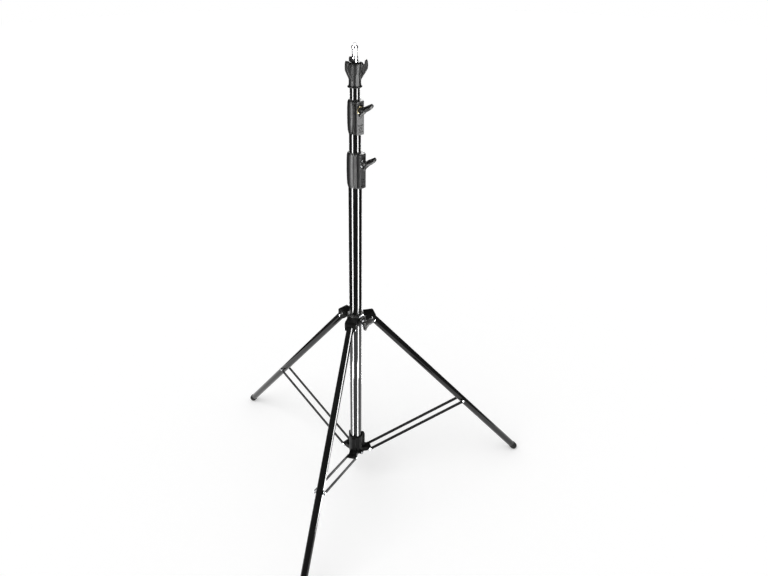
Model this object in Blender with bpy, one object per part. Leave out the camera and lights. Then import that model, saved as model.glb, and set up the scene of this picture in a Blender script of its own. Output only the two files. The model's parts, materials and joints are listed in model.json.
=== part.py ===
"""Three-section light stand on a folding three-leg base.

Metres, +Z up. The stand rests on the floor at Z = 0 and the origin is the middle of its
bounding box at floor level, so the column stands a little behind it (+Y). The front leg points
along -Y. In the sections below a radius is measured from the column's axis, and the local frame
of a leg or a brace has its pin at the origin, X outwards and Y along the pin.
"""
import math
from collections import namedtuple

import bmesh
import bpy
from mathutils import Matrix, Vector

for old_object in list(bpy.data.objects):
    bpy.data.objects.remove(old_object, do_unlink=True)

# Clearances and facets
GAP = 0.0003
WELD_DISTANCE = 1e-6
COLUMN_SIDES = 28
LEG_SIDES = 18
PIN_SIDES = 10
ARC_STEPS = 6
ROD_ROLL = math.radians(7.0)
STRAY_DISTANCE = 1e-7
STRAY_ANGLE = math.radians(0.5)
SHARP_ANGLE = math.radians(32.0)
OVERCUT = 0.004

# Column tubes: outer radius, wall and height span
TUBE_WALL = 0.0015
BASE_TUBE_R = 0.0175
MIDDLE_TUBE_R = 0.0150
TOP_TUBE_R = 0.0125
BASE_TUBE_BOTTOM = 0.1070
BASE_TUBE_TOP = 1.0560
MIDDLE_TUBE_BOTTOM = 0.1900
MIDDLE_TUBE_TOP = 1.1930
TOP_TUBE_BOTTOM = 0.2430
TOP_TUBE_TOP = 1.3030

# Leg and brace linkage, in the plane of one leg
PIVOT_R = 0.0430
HUB_PIN_Z = 0.6098
BRACKET_PIN_Z = 0.1150
LEG_TILT = math.radians(40.58)
BRACE_PIN_ON_LEG = 0.4723
LEG_AZIMUTHS = {"front": -90.0, "right": 30.0, "left": 150.0}

# Legs
LEG_R = 0.0105
LEG_WALL = 0.0012
FOOT_R = 0.0113
FOOT_FLAT = 0.0004
FOOT_CAP_LENGTH = 0.0140
FOOT_PLUG_LENGTH = 0.0200
HEAD_TOP = 0.0120
HEAD_OUTER = 0.0138
HEAD_INNER = 0.0180
HEAD_BOTTOM = 0.0180
HEAD_CORNER_R = 0.0060
HEAD_HEEL_R = 0.0168
HEAD_HALF_WIDTH = 0.0155
HEAD_SLOT_HALF = 0.0068
HEAD_SLOT_R = 0.0095
HEAD_SOCKET_TOP = 0.0105
HEAD_RIVET_Z = 0.0138
HEAD_RIVET_R = 0.0021
HEAD_RIVET_HEAD_R = 0.0036
LUG_HALF_WIDTH = 0.0065
LUG_R = 0.0092
LEG_PIN_R = 0.0030
LEG_PIN_HEAD_R = 0.0046
BRACE_PIN_R = 0.0025
BRACE_PIN_HEAD_R = 0.0042
PIN_DOME = 0.0014

# Braces: two flat straps for each leg
STRAP_OFFSET = 0.01425
STRAP_HALF_THICKNESS = 0.00125
STRAP_HALF_WIDTH = 0.0050
STRAP_EYE_R = 0.0060

# Knobs
SCREW_R = 0.0039
WASHER_R = 0.0104
WASHER_THICKNESS = 0.0016
KNOB_WING_HALF = 0.0042
SHOE_R = 0.0073
SHOE_THICKNESS = 0.0044
SCREW_CLEARANCE = 0.0005
# Body as (radius, distance from the washer). Wings as (distance from the washer, from the axis)
KNOB_BODY = [
    (0.0, 0.0), (0.0078, 0.0), (0.0088, 0.0014), (0.0086, 0.0070), (0.0074, 0.0120),
    (0.0052, 0.0152), (0.0, 0.0164),
]
KNOB_LONG_WING = [
    (0.0156, 0.0), (0.0204, 0.0056), (0.0246, 0.0116), (0.0264, 0.0178), (0.0260, 0.0226),
    (0.0238, 0.0258), (0.0208, 0.0262), (0.0185, 0.0235), (0.0135, 0.0184), (0.0080, 0.0134),
    (0.0040, 0.0076), (0.0030, 0.0),
]
KNOB_SHORT_WING = [
    (0.0034, -0.0070), (0.0056, -0.0112), (0.0100, -0.0156), (0.0134, -0.0176),
    (0.0160, -0.0170), (0.0166, -0.0138), (0.0158, -0.0080),
]
KNOB_SCREW_PAST_FACE = 0.0110
KNOB_RIM = 0.0014
KNOB_AZIMUTH = -30.0
MIDDLE_COLLAR_AZIMUTH = -42.0
BASE_LEVER_TURN = 36.0
MIDDLE_LEVER_TURN = 39.0
HUB_LEVER_TURN = 48.0

# Clamping collars: screw in the lower recess, whose height is from the collar's bottom, and a
# slot above and below it, whose spans are from the recess
COLLAR_RECESS_Z = 0.0170
COLLAR_RECESS_DEPTH = 0.0026
COLLAR_SCREW_R = 0.0019
COLLAR_SCREW_HEAD_R = 0.0036
COLLAR_SCREW_ROOM = 0.0004
COLLAR_SLOT_HALF = 0.0060
COLLAR_SLOT_DEPTH = 0.0016
COLLAR_SLOTS = [(0.0075, 0.0098), (-0.0090, -0.0067)]

# Hub
HUB_R = 0.0245
HUB_BOTTOM = 0.5970
HUB_TOP = 0.6225
HUB_SLEEVE_R = 0.0197
HUB_BLOCK_REACH = 0.0330
HUB_BLOCK_HALF = 0.0115
HUB_BLOCK_DROP = 0.0050
HUB_KNOB_Z = 0.6035
HUB_PLATE_X = (0.0232, 0.0272)
HUB_PLATE_HALF = 0.0090

# Bottom bracket
BRACKET_R = 0.0212
BRACKET_BOTTOM = 0.1072
BRACKET_TOP = 0.1760
BRACKET_GUSSET_R = 0.0280
BRACKET_LUG_HALF = 0.0124
BRACKET_LUG_R = 0.0062
BRACKET_BOSS_REACH = 0.0285
BRACKET_BOSS_R = 0.0064
BRACKET_BOSS_RISE = 0.0072
BRACKET_SCREW_R = 0.0024

# Top cap and spigot
CAP_BOTTOM = 1.2610
CAP_TOP = 1.3200
CAP_NECK_R = 0.0152
CAP_RIM_R = 0.0186
CAP_FLANGE_R = 0.0182
CAP_HOOK_AZIMUTH = 5.5
CAP_PANEL_AZIMUTH = -47.5
CAP_HOOK_HALF = 0.0046
CAP_HOOK_REACH = 0.0320
CAP_HOOK_TOP = 1.3265
CAP_NOTCH_INNER = 0.0183
CAP_NOTCH_OUTER = 0.0243
CAP_NOTCH_BOTTOM = 1.3160
SPIGOT_R = 0.0080
SPIGOT_WAIST_R = 0.0063
SPIGOT_SHOULDER = 1.3560
SPIGOT_TIP = 1.3625
SPIGOT_TIP_R = 0.0031

# Derived sizes
FOOT_CENTRE_Z = FOOT_R - FOOT_FLAT
LEG_LENGTH = (HUB_PIN_Z - FOOT_CENTRE_Z) / math.cos(LEG_TILT)
FOOT_CENTRE_R = PIVOT_R + LEG_LENGTH * math.sin(LEG_TILT)
BRACE_RUN = BRACE_PIN_ON_LEG * math.sin(LEG_TILT)
BRACE_RISE = HUB_PIN_Z - BRACE_PIN_ON_LEG * math.cos(LEG_TILT) - BRACKET_PIN_Z
BRACE_LENGTH = math.hypot(BRACE_RUN, BRACE_RISE)
BRACE_TILT = math.atan2(BRACE_RUN, BRACE_RISE)
COLUMN_Y = (FOOT_CENTRE_R * (1.0 - math.sin(math.radians(30.0)))) / 2.0

Collar = namedtuple(
    "Collar",
    "name bottom top shell_r lower_r upper_r tube_end reach half_width face_half knob_z azimuth",
)
BASE_COLLAR = Collar(
    name="base", bottom=1.0070, top=1.1010, shell_r=0.0218, lower_r=BASE_TUBE_R,
    upper_r=MIDDLE_TUBE_R, tube_end=BASE_TUBE_TOP, reach=0.0290, half_width=0.0155,
    face_half=0.0109, knob_z=1.0750, azimuth=KNOB_AZIMUTH,
)
MIDDLE_COLLAR = Collar(
    name="middle", bottom=1.1475, top=1.2330, shell_r=0.0192, lower_r=MIDDLE_TUBE_R,
    upper_r=TOP_TUBE_R, tube_end=MIDDLE_TUBE_TOP, reach=0.0260, half_width=0.0142,
    face_half=0.0108, knob_z=1.2105, azimuth=MIDDLE_COLLAR_AZIMUTH,
)


# Materials

def material(name, colour, roughness, metallic):
    """A plain Principled material."""
    made = bpy.data.materials.new(name)
    made.use_nodes = True
    shader = made.node_tree.nodes["Principled BSDF"]
    shader.inputs["Base Color"].default_value = (*colour, 1.0)
    shader.inputs["Roughness"].default_value = roughness
    shader.inputs["Metallic"].default_value = metallic
    return made


BLACK_TUBE = material("gloss_black_tube", (0.012, 0.012, 0.013), 0.18, 0.0)
CASTING = material("satin_black_casting", (0.035, 0.035, 0.037), 0.45, 0.0)
NYLON = material("grey_nylon", (0.18, 0.18, 0.18), 0.5, 0.0)
RUBBER = material("black_rubber", (0.02, 0.02, 0.02), 0.8, 0.0)
CHROME = material("chrome", (0.85, 0.85, 0.86), 0.08, 1.0)
STEEL = material("zinc_plated_steel", (0.62, 0.63, 0.64), 0.3, 1.0)
BRASS = material("brass", (0.78, 0.62, 0.33), 0.3, 1.0)
STRAP_PAINT = material("satin_black_strap", (0.02, 0.02, 0.021), 0.35, 0.0)


# Frames that carry the moving pieces

def empty(name, parent=None, matrix=Matrix.Identity(4)):
    """An empty that carries one rigid group, with its origin on the group's joint axis."""
    made = bpy.data.objects.new(name, None)
    bpy.context.collection.objects.link(made)
    made.empty_display_size = 0.03
    made.parent = parent
    made.matrix_basis = matrix
    return made


def turn_z(degrees):
    """A turn about the column's direction."""
    return Matrix.Rotation(math.radians(degrees), 4, "Z")


def shift(x=0.0, y=0.0, z=0.0):
    """A move along the three axes."""
    return Matrix.Translation(Vector((x, y, z)))


ALONG_X = Matrix.Rotation(math.radians(90.0), 4, "Y")
ALONG_Y = Matrix.Rotation(math.radians(-90.0), 4, "X")


# Mesh makers

def new_object(name, bm, finish, parent, matrix=Matrix.Identity(4)):
    """Turn a bmesh into a smooth-shaded object in its parent's frame."""
    bmesh.ops.recalc_face_normals(bm, faces=bm.faces)
    mesh = bpy.data.meshes.new(name)
    bm.to_mesh(mesh)
    bm.free()
    mesh.shade_smooth()
    mesh.set_sharp_from_angle(angle=SHARP_ANGLE)
    mesh.materials.append(finish)
    made = bpy.data.objects.new(name, mesh)
    bpy.context.collection.objects.link(made)
    made.parent = parent
    made.matrix_basis = matrix
    return made


def turned(profile, sides, start=0.0):
    """Spin a closed (radius, z) outline about Z. Points at radius 0 close on the axis."""
    bm = bmesh.new()
    along, across = math.cos(start), math.sin(start)
    verts = [bm.verts.new((radius * along, radius * across, z)) for radius, z in profile]
    edges = [bm.edges.new((verts[i], verts[(i + 1) % len(verts)])) for i in range(len(verts))]
    on_axis = [e for e in edges if all(v.co.x == 0.0 for v in e.verts)]
    for edge in on_axis:
        bm.edges.remove(edge)
        edges.remove(edge)
    bmesh.ops.spin(
        bm, geom=verts + edges, cent=(0.0, 0.0, 0.0), axis=(0.0, 0.0, 1.0),
        angle=2.0 * math.pi, steps=sides, use_merge=True,
    )
    bmesh.ops.remove_doubles(bm, verts=bm.verts, dist=WELD_DISTANCE)
    return bm


def ring(inner, outer, bottom, top, sides):
    """A plain tube or washer."""
    return turned([(inner, bottom), (outer, bottom), (outer, top), (inner, top)], sides)


def rod(radius, bottom, top, sides=PIN_SIDES, chamfer=0.0):
    """A solid round bar, with chamfered ends if asked. Its facets are rolled off the XZ plane,
    so that a hole never has an edge on the edge of the round body that it goes through."""
    profile = [(0.0, bottom), (radius, bottom), (radius, top), (0.0, top)]
    if chamfer:
        profile[1:3] = [(radius - chamfer, bottom), (radius, bottom + chamfer),
                        (radius, top - chamfer), (radius - chamfer, top)]
    return turned(profile, sides, ROD_ROLL)


def prism(outline, start, end, plane="XZ"):
    """Extrude a flat outline: XZ outlines along Y, XY outlines along Z."""
    bm = bmesh.new()
    if plane == "XZ":
        verts = [bm.verts.new((u, start, v)) for u, v in outline]
        travel = (0.0, end - start, 0.0)
    else:
        verts = [bm.verts.new((u, v, start)) for u, v in outline]
        travel = (0.0, 0.0, end - start)
    face = bm.faces.new(verts)
    grown = bmesh.ops.extrude_face_region(bm, geom=[face])
    moved = [g for g in grown["geom"] if isinstance(g, bmesh.types.BMVert)]
    bmesh.ops.translate(bm, verts=moved, vec=travel)
    return bm


def box(x_span, y_span, z_span):
    """A block between two corners."""
    (x0, x1), (y0, y1), (z0, z1) = x_span, y_span, z_span
    return prism([(x0, y0), (x1, y0), (x1, y1), (x0, y1)], z0, z1, plane="XY")


def arc(centre, radius, start_deg, end_deg, steps=ARC_STEPS):
    """Points along an arc, both ends included."""
    points = []
    for i in range(steps + 1):
        angle = math.radians(start_deg + (end_deg - start_deg) * i / steps)
        points.append((centre[0] + radius * math.cos(angle), centre[1] + radius * math.sin(angle)))
    return points


# Booleans, applied at once so that no cutter is left in the file

def combine(target, tools, operation):
    """Unite the target with each tool mesh, or cut each tool from it.

    A tool is a pair: a bmesh, and its matrix in the target's own frame.
    """
    for bm, matrix in tools:
        tool = new_object("tool", bm, target.data.materials[0], target, matrix)
        bpy.context.view_layer.update()
        modifier = target.modifiers.new("combine", "BOOLEAN")
        modifier.operation = operation
        modifier.solver = "EXACT"
        modifier.object = tool
        graph = bpy.context.evaluated_depsgraph_get()
        result = bpy.data.meshes.new_from_object(target.evaluated_get(graph))
        target.modifiers.remove(modifier)
        target.data = result
        bpy.data.objects.remove(tool, do_unlink=True)
        finish_mesh(target)


def finish_mesh(target):
    """Merge stray points left by a cut, take out those along a straight edge, and shade again."""
    bm = bmesh.new()
    bm.from_mesh(target.data)
    bmesh.ops.remove_doubles(bm, verts=bm.verts, dist=STRAY_DISTANCE)
    idle = [v for v in bm.verts if len(v.link_edges) == 2 and v.calc_edge_angle() < STRAY_ANGLE]
    bmesh.ops.dissolve_verts(bm, verts=idle)
    bm.to_mesh(target.data)
    bm.free()
    target.data.shade_smooth()
    target.data.set_sharp_from_angle(angle=SHARP_ANGLE)


def unite(target, *tools):
    """Join each tool mesh to the target."""
    combine(target, tools, "UNION")


def cut(target, *tools):
    """Cut each tool mesh from the target."""
    combine(target, tools, "DIFFERENCE")


def rivet(name, finish, parent, matrix, shank_r, head_r, reach, dome):
    """A pin along local Y with a domed head at each end."""
    half = [(0.0, reach + dome), (0.7 * head_r, reach + 0.7 * dome), (head_r, reach),
            (shank_r, reach)]
    lower = [(r, -z) for r, z in reversed(half)]
    return new_object(name, turned(half + lower, PIN_SIDES), finish, parent, matrix @ ALONG_Y)


# Column: root of the assembly

stand = empty("stand", None, shift(y=COLUMN_Y))
middle_riser = empty("middle_riser", stand, shift(z=MIDDLE_TUBE_BOTTOM))
top_riser = empty("top_riser", middle_riser, shift(z=TOP_TUBE_BOTTOM - MIDDLE_TUBE_BOTTOM))
hub_frame = empty("hub_frame", stand, shift(z=HUB_PIN_Z))


def column_tube(name, radius, bottom, top, parent, origin_z):
    """One section of the column, given by its heights above the floor."""
    bm = ring(radius - TUBE_WALL, radius, bottom - origin_z, top - origin_z, COLUMN_SIDES)
    return new_object(name, bm, BLACK_TUBE, parent)


def guide(name, outer_tube_r, tube_r, parent):
    """Plastic piston on a riser's lower end: a flange that slides in the outer tube, and a plug."""
    flange_r = outer_tube_r - TUBE_WALL - GAP
    plug_r = tube_r - TUBE_WALL - GAP
    flange = 0.0050
    plug = 0.0180
    vent = 0.0040
    profile = [
        (vent, -flange - GAP), (flange_r - 0.0008, -flange - GAP), (flange_r, -flange + 0.0005),
        (flange_r, -GAP), (plug_r, -GAP), (plug_r, plug - 0.0010), (plug_r - 0.0010, plug),
        (vent, plug),
    ]
    return new_object(name, turned(profile, COLUMN_SIDES), NYLON, parent)


def build_tubes():
    """The three sections, their guides, and the plug in the lowest end."""
    column_tube("base_tube", BASE_TUBE_R, BASE_TUBE_BOTTOM, BASE_TUBE_TOP, stand, 0.0)
    column_tube("middle_tube", MIDDLE_TUBE_R, MIDDLE_TUBE_BOTTOM, MIDDLE_TUBE_TOP,
                middle_riser, MIDDLE_TUBE_BOTTOM)
    column_tube("top_tube", TOP_TUBE_R, TOP_TUBE_BOTTOM, TOP_TUBE_TOP,
                top_riser, TOP_TUBE_BOTTOM)
    guide("middle_guide", BASE_TUBE_R, MIDDLE_TUBE_R, middle_riser)
    guide("top_guide", MIDDLE_TUBE_R, TOP_TUBE_R, top_riser)
    plug_r = BASE_TUBE_R - TUBE_WALL - GAP
    bottom = BASE_TUBE_BOTTOM - GAP
    profile = [
        (0.0, bottom - 0.0030), (BASE_TUBE_R - 0.0010, bottom - 0.0030),
        (BASE_TUBE_R, bottom - 0.0020), (BASE_TUBE_R, bottom), (plug_r, bottom),
        (plug_r, bottom + 0.0120), (plug_r - 0.0015, bottom + 0.0140), (0.0, bottom + 0.0140),
    ]
    new_object("bottom_plug", turned(profile, COLUMN_SIDES), RUBBER, stand)


# Clamping collars

def build_collar(c, parent, parent_z):
    """Barrel shell with a clamp block on one side, bored for the two tubes it joins."""
    place = shift(z=-parent_z) @ turn_z(c.azimuth)
    middle = (c.top + c.bottom) / 2.0
    shell = [
        (0.0, c.top), (c.upper_r + 0.0010, c.top), (c.shell_r - 0.0028, c.top - 0.0016),
        (c.shell_r - 0.0008, c.top - 0.0060), (c.shell_r, middle),
        (c.shell_r - 0.0006, c.bottom + 0.0070), (c.shell_r - 0.0022, c.bottom + 0.0016),
        (c.lower_r + 0.0012, c.bottom), (0.0, c.bottom),
    ]
    collar = new_object(c.name + "_collar", turned(shell, COLUMN_SIDES), CASTING, parent, place)

    ledge = c.shell_r - 0.0016
    chamfer = 0.0022
    ledge_chamfer = 0.0008
    half_block = [
        (c.reach, c.face_half - chamfer), (c.reach - chamfer, c.face_half), (ledge, c.face_half),
        (ledge, c.half_width - ledge_chamfer), (ledge - ledge_chamfer, c.half_width),
        (0.0, c.half_width),
    ]
    block = half_block + [(x, -y) for x, y in reversed(half_block)]
    block_bottom = c.bottom + 0.0012
    block_top = c.top - 0.0008
    unite(collar, (prism(block, block_bottom, block_top, plane="XY"), shift()))

    bush_r = c.lower_r - GAP
    bores = turned([
        (0.0, c.bottom - OVERCUT), (c.lower_r + GAP, c.bottom - OVERCUT),
        (c.lower_r + GAP, c.tube_end + GAP), (bush_r, c.tube_end + GAP),
        (bush_r, c.top + OVERCUT), (0.0, c.top + OVERCUT)], COLUMN_SIDES)
    knob_height = shift(z=c.knob_z)
    screw_bore = rod(SCREW_R + SCREW_CLEARANCE, 0.0, c.reach + OVERCUT)
    shoe_pocket = rod(SHOE_R + GAP, 0.0, c.upper_r + GAP + SHOE_THICKNESS + GAP)
    recess_height = shift(z=c.bottom + COLLAR_RECESS_Z)
    screw_tip = c.lower_r + 0.0020
    outside = c.reach + OVERCUT
    recess_floor = c.reach - COLLAR_RECESS_DEPTH
    head_room = rod(COLLAR_SCREW_HEAD_R + COLLAR_SCREW_ROOM, recess_floor, outside)
    shank_room = rod(COLLAR_SCREW_R + COLLAR_SCREW_ROOM, screw_tip - GAP, outside)
    cut(collar,
        (bores, shift()),
        (screw_bore, knob_height @ ALONG_X),
        (shoe_pocket, knob_height @ ALONG_X),
        (head_room, recess_height @ ALONG_X),
        (shank_room, recess_height @ ALONG_X))
    for slot_span in COLLAR_SLOTS:
        slot = box((c.reach - COLLAR_SLOT_DEPTH, outside), (-COLLAR_SLOT_HALF, COLLAR_SLOT_HALF),
                   slot_span)
        cut(collar, (slot, recess_height))

    head_back = recess_floor + COLLAR_SCREW_ROOM
    head_front = c.reach - 0.0001
    socket_r = 0.0016
    socket_floor = head_front - 0.0013
    profile = [
        (0.0, screw_tip), (COLLAR_SCREW_R, screw_tip), (COLLAR_SCREW_R, head_back),
        (COLLAR_SCREW_HEAD_R, head_back), (COLLAR_SCREW_HEAD_R, head_front - 0.0005),
        (COLLAR_SCREW_HEAD_R - 0.0006, head_front), (socket_r, head_front),
        (socket_r, socket_floor), (0.0, socket_floor),
    ]
    new_object(c.name + "_collar_screw", turned(profile, PIN_SIDES), STRAP_PAINT, parent,
               place @ recess_height @ ALONG_X)

    bush = new_object(
        c.name + "_collar_bush",
        ring(c.upper_r + GAP, bush_r - GAP, c.tube_end + 2 * GAP, c.top - 0.0010, COLUMN_SIDES),
        NYLON, parent, place)
    cut(bush, (rod(SHOE_R + 2 * GAP, 0.0, c.reach), knob_height @ ALONG_X))
    build_shoe(c.name + "_collar_shoe", c.upper_r, parent, place @ knob_height)


def build_shoe(name, tube_r, parent, place):
    """Round pad pressed on the tube by the knob's screw, hollowed to the tube's radius."""
    shoe = new_object(name, rod(SHOE_R, tube_r - 0.0030, tube_r + GAP + SHOE_THICKNESS), BRASS,
                      parent, place @ ALONG_X)
    hollow = rod(tube_r + GAP, -2 * SHOE_R, 2 * SHOE_R, sides=COLUMN_SIDES)
    cut(shoe, (hollow, ALONG_X.inverted()))


# Lever knobs

def build_knob(name, frame, face, tip, lever_turn, washer_finish):
    """Wing lever on a steel screw. The frame's X axis is the screw's axis, from the column's."""
    screw_end = face + KNOB_SCREW_PAST_FACE
    new_object(name + "_screw", rod(SCREW_R, tip, screw_end, chamfer=0.0006), STEEL, frame, ALONG_X)
    washer = ring(SCREW_R + 0.0004, WASHER_R, face + GAP, face + GAP + WASHER_THICKNESS, LEG_SIDES)
    new_object(name + "_washer", washer, washer_finish, frame, ALONG_X)

    base = face + 2 * GAP + WASHER_THICKNESS
    body = [(r, base + u) for r, u in KNOB_BODY]
    knob = new_object(name, turned(body, LEG_SIDES), CASTING, frame, ALONG_X)
    lever = [(base + u, v) for u, v in KNOB_LONG_WING + KNOB_SHORT_WING]
    in_knob = ALONG_X.inverted() @ Matrix.Rotation(math.radians(lever_turn), 4, "X")
    unite(knob, (rounded_prism(lever, KNOB_WING_HALF), in_knob))
    cut(knob, (rod(SCREW_R + GAP, face - OVERCUT, screw_end + GAP), shift()))


def rounded_prism(outline, half):
    """An XY outline extruded both ways along Z, with its rims bevelled."""
    bm = prism(outline, -half, half, plane="XY")
    rims = [e for e in bm.edges if abs(e.verts[0].co.z - e.verts[1].co.z) < WELD_DISTANCE]
    bmesh.ops.bevel(bm, geom=rims, offset=KNOB_RIM, segments=2, profile=0.6, affect="EDGES")
    return bm


# Hub: slides on the base tube and carries the legs

def pin_hole(radius, half_length):
    """A cutter for a pin's hole, centred on the origin."""
    return rod(radius, -half_length, half_length)


def build_hub():
    """Ring with three leg lugs and a clamp block, its sleeve, nut plate and leg pins."""
    z0 = -HUB_PIN_Z
    body = [
        (0.0, HUB_BOTTOM), (HUB_R + 0.0008, HUB_BOTTOM), (HUB_R + 0.0016, HUB_BOTTOM + 0.0008),
        (HUB_R + 0.0016, HUB_BOTTOM + 0.0028), (HUB_R, HUB_BOTTOM + 0.0036),
        (HUB_R, HUB_TOP - 0.0025), (HUB_R - 0.0022, HUB_TOP), (0.0, HUB_TOP),
    ]
    hub = new_object("leg_hub", turned(body, COLUMN_SIDES), CASTING, hub_frame, shift(z=z0))
    lug_root = 0.0140
    lug = [(lug_root, HUB_PIN_Z + LUG_R)]
    lug += arc((PIVOT_R, HUB_PIN_Z), LUG_R, 90.0, -90.0)
    lug += [(0.0290, HUB_PIN_Z - LUG_R), (HUB_R, HUB_BOTTOM + 0.0010),
            (lug_root, HUB_BOTTOM + 0.0010)]
    for azimuth in LEG_AZIMUTHS.values():
        unite(hub, (prism(lug, -LUG_HALF_WIDTH, LUG_HALF_WIDTH), turn_z(azimuth)))
    half = HUB_BLOCK_HALF
    chamfer = 0.0025
    reach = HUB_BLOCK_REACH
    block = [
        (0.0100, -half), (reach - chamfer, -half), (reach, -half + chamfer),
        (reach, half - chamfer), (reach - chamfer, half), (0.0100, half),
    ]
    facing = turn_z(KNOB_AZIMUTH)
    unite(hub, (prism(block, HUB_BOTTOM - HUB_BLOCK_DROP, HUB_TOP - 0.0008, plane="XY"), facing))
    knob_height = facing @ shift(z=HUB_KNOB_Z)
    bore = rod(HUB_SLEEVE_R + GAP, HUB_BOTTOM - 2 * OVERCUT, HUB_TOP + OVERCUT, COLUMN_SIDES)
    plate_room = HUB_PLATE_HALF + GAP
    plate_bottom = HUB_BOTTOM - 0.0020
    plate_slot = box(HUB_PLATE_X, (-plate_room, plate_room), (plate_bottom, HUB_TOP + OVERCUT))
    cut(hub,
        (bore, shift()),
        (rod(SCREW_R + SCREW_CLEARANCE, 0.0, reach + OVERCUT), knob_height @ ALONG_X),
        (plate_slot, facing))
    for azimuth in LEG_AZIMUTHS.values():
        pin_place = turn_z(azimuth) @ shift(x=PIVOT_R, z=HUB_PIN_Z) @ ALONG_Y
        cut(hub, (pin_hole(LEG_PIN_R + GAP, 2 * LUG_HALF_WIDTH), pin_place))

    new_object(
        "hub_sleeve",
        ring(BASE_TUBE_R + GAP, HUB_SLEEVE_R, HUB_BOTTOM - 0.0028, HUB_TOP + 0.0012,
             COLUMN_SIDES),
        NYLON, hub_frame, shift(z=z0))

    plate = new_object(
        "hub_nut_plate",
        box((HUB_PLATE_X[0] + GAP, HUB_PLATE_X[1] - GAP), (-HUB_PLATE_HALF, HUB_PLATE_HALF),
            (plate_bottom + GAP, HUB_TOP + 0.0022)),
        STEEL, hub_frame, shift(z=z0) @ facing)
    cut(plate, (rod(SCREW_R + GAP, 0.0, reach), shift(z=HUB_KNOB_Z) @ ALONG_X))

    for side, azimuth in LEG_AZIMUTHS.items():
        place = turn_z(azimuth) @ shift(x=PIVOT_R)
        rivet("leg_pin_" + side, BLACK_TUBE, hub_frame, place, LEG_PIN_R, LEG_PIN_HEAD_R,
              HEAD_HALF_WIDTH + GAP, PIN_DOME)


# Bottom bracket: fixed to the foot of the base tube, carries the braces

def build_bracket():
    """Sleeve with three gussets and brace lugs, its screw in a boss, and the brace pins."""
    body = [
        (0.0, BRACKET_BOTTOM), (BRACKET_R - 0.0010, BRACKET_BOTTOM),
        (BRACKET_R, BRACKET_BOTTOM + 0.0010), (BRACKET_R, BRACKET_TOP - 0.0030),
        (BRACKET_R - 0.0016, BRACKET_TOP), (0.0, BRACKET_TOP),
    ]
    bracket = new_object("bottom_bracket", turned(body, COLUMN_SIDES), CASTING, stand)
    lobe_r = 0.0065
    gusset = [(0.0140, BRACKET_BOTTOM + 0.0016), (BRACKET_GUSSET_R, BRACKET_BOTTOM + 0.0016)]
    gusset += arc((BRACKET_GUSSET_R - lobe_r, BRACKET_TOP - 0.0040), lobe_r, 0.0, 90.0)
    gusset += [(0.0140, BRACKET_TOP - 0.0040 + lobe_r)]
    lug = [(0.0140, BRACKET_BOTTOM + 0.0008), (0.0300, BRACKET_BOTTOM + 0.0008)]
    lug += arc((PIVOT_R, BRACKET_PIN_Z), BRACKET_LUG_R, -90.0, 90.0)
    lug += [(0.0310, BRACKET_PIN_Z + 0.0095), (0.0140, BRACKET_PIN_Z + 0.0095)]
    for azimuth in LEG_AZIMUTHS.values():
        unite(bracket,
              (prism(gusset, -0.0058, 0.0058), turn_z(azimuth)),
              (prism(lug, -BRACKET_LUG_HALF, BRACKET_LUG_HALF), turn_z(azimuth)))
    boss_place = turn_z(KNOB_AZIMUTH) @ shift(z=BRACKET_BOTTOM + BRACKET_BOSS_RISE) @ ALONG_X
    boss_root = 0.0150
    boss = rod(BRACKET_BOSS_R, boss_root, BRACKET_BOSS_REACH, chamfer=0.0010)
    unite(bracket, (boss, boss_place))
    bore = rod(BASE_TUBE_R + GAP, BRACKET_BOTTOM - OVERCUT, BRACKET_TOP + 0.0100, COLUMN_SIDES)
    cut(bracket,
        (bore, shift()),
        (rod(BRACKET_SCREW_R + 0.0004, boss_root, BRACKET_BOSS_REACH + OVERCUT), boss_place))
    for azimuth in LEG_AZIMUTHS.values():
        pin_place = turn_z(azimuth) @ shift(x=PIVOT_R, z=BRACKET_PIN_Z) @ ALONG_Y
        cut(bracket, (pin_hole(BRACE_PIN_R + GAP, 2 * BRACKET_LUG_HALF), pin_place))

    tip = BASE_TUBE_R + GAP
    screw_end = BRACKET_BOSS_REACH - 0.0010
    socket_r = 0.0014
    socket_floor = screw_end - 0.0030
    profile = [
        (0.0, tip), (BRACKET_SCREW_R, tip), (BRACKET_SCREW_R, screw_end), (socket_r, screw_end),
        (socket_r, socket_floor), (0.0, socket_floor),
    ]
    new_object("bracket_screw", turned(profile, PIN_SIDES), STEEL, stand, boss_place)
    for side, azimuth in LEG_AZIMUTHS.items():
        place = turn_z(azimuth) @ shift(x=PIVOT_R, z=BRACKET_PIN_Z)
        reach = STRAP_OFFSET + STRAP_HALF_THICKNESS + GAP
        rivet("brace_pin_" + side, STEEL, stand, place, BRACE_PIN_R, BRACE_PIN_HEAD_R, reach,
              PIN_DOME)


# Legs

def leg_frame(points):
    """Turn (outward, up) points about the pin of the spread leg into the leg's own (x, z)."""
    along, across = math.cos(LEG_TILT), math.sin(LEG_TILT)
    return [(out * along + up * across, up * along - out * across) for out, up in points]


def head_outline():
    """The head's side, level on top and upright at its end while the leg is spread.

    Its inner heel is round about the pin, so that it clears the hub as the leg folds.
    """
    corner = HEAD_OUTER - HEAD_CORNER_R
    outline = [(-HEAD_INNER, HEAD_TOP)]
    outline += arc((corner, HEAD_TOP - HEAD_CORNER_R), HEAD_CORNER_R, 90.0, 0.0, 4)
    outline += arc((corner, HEAD_CORNER_R - HEAD_BOTTOM), HEAD_CORNER_R, 0.0, -90.0, 4)
    outline += [(-0.0020, -HEAD_BOTTOM)]
    outline += arc((0.0, 0.0), HEAD_HEEL_R, 242.0, 186.0, 5)
    outline += [(-HEAD_INNER, 0.0015)]
    return leg_frame(outline)


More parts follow.
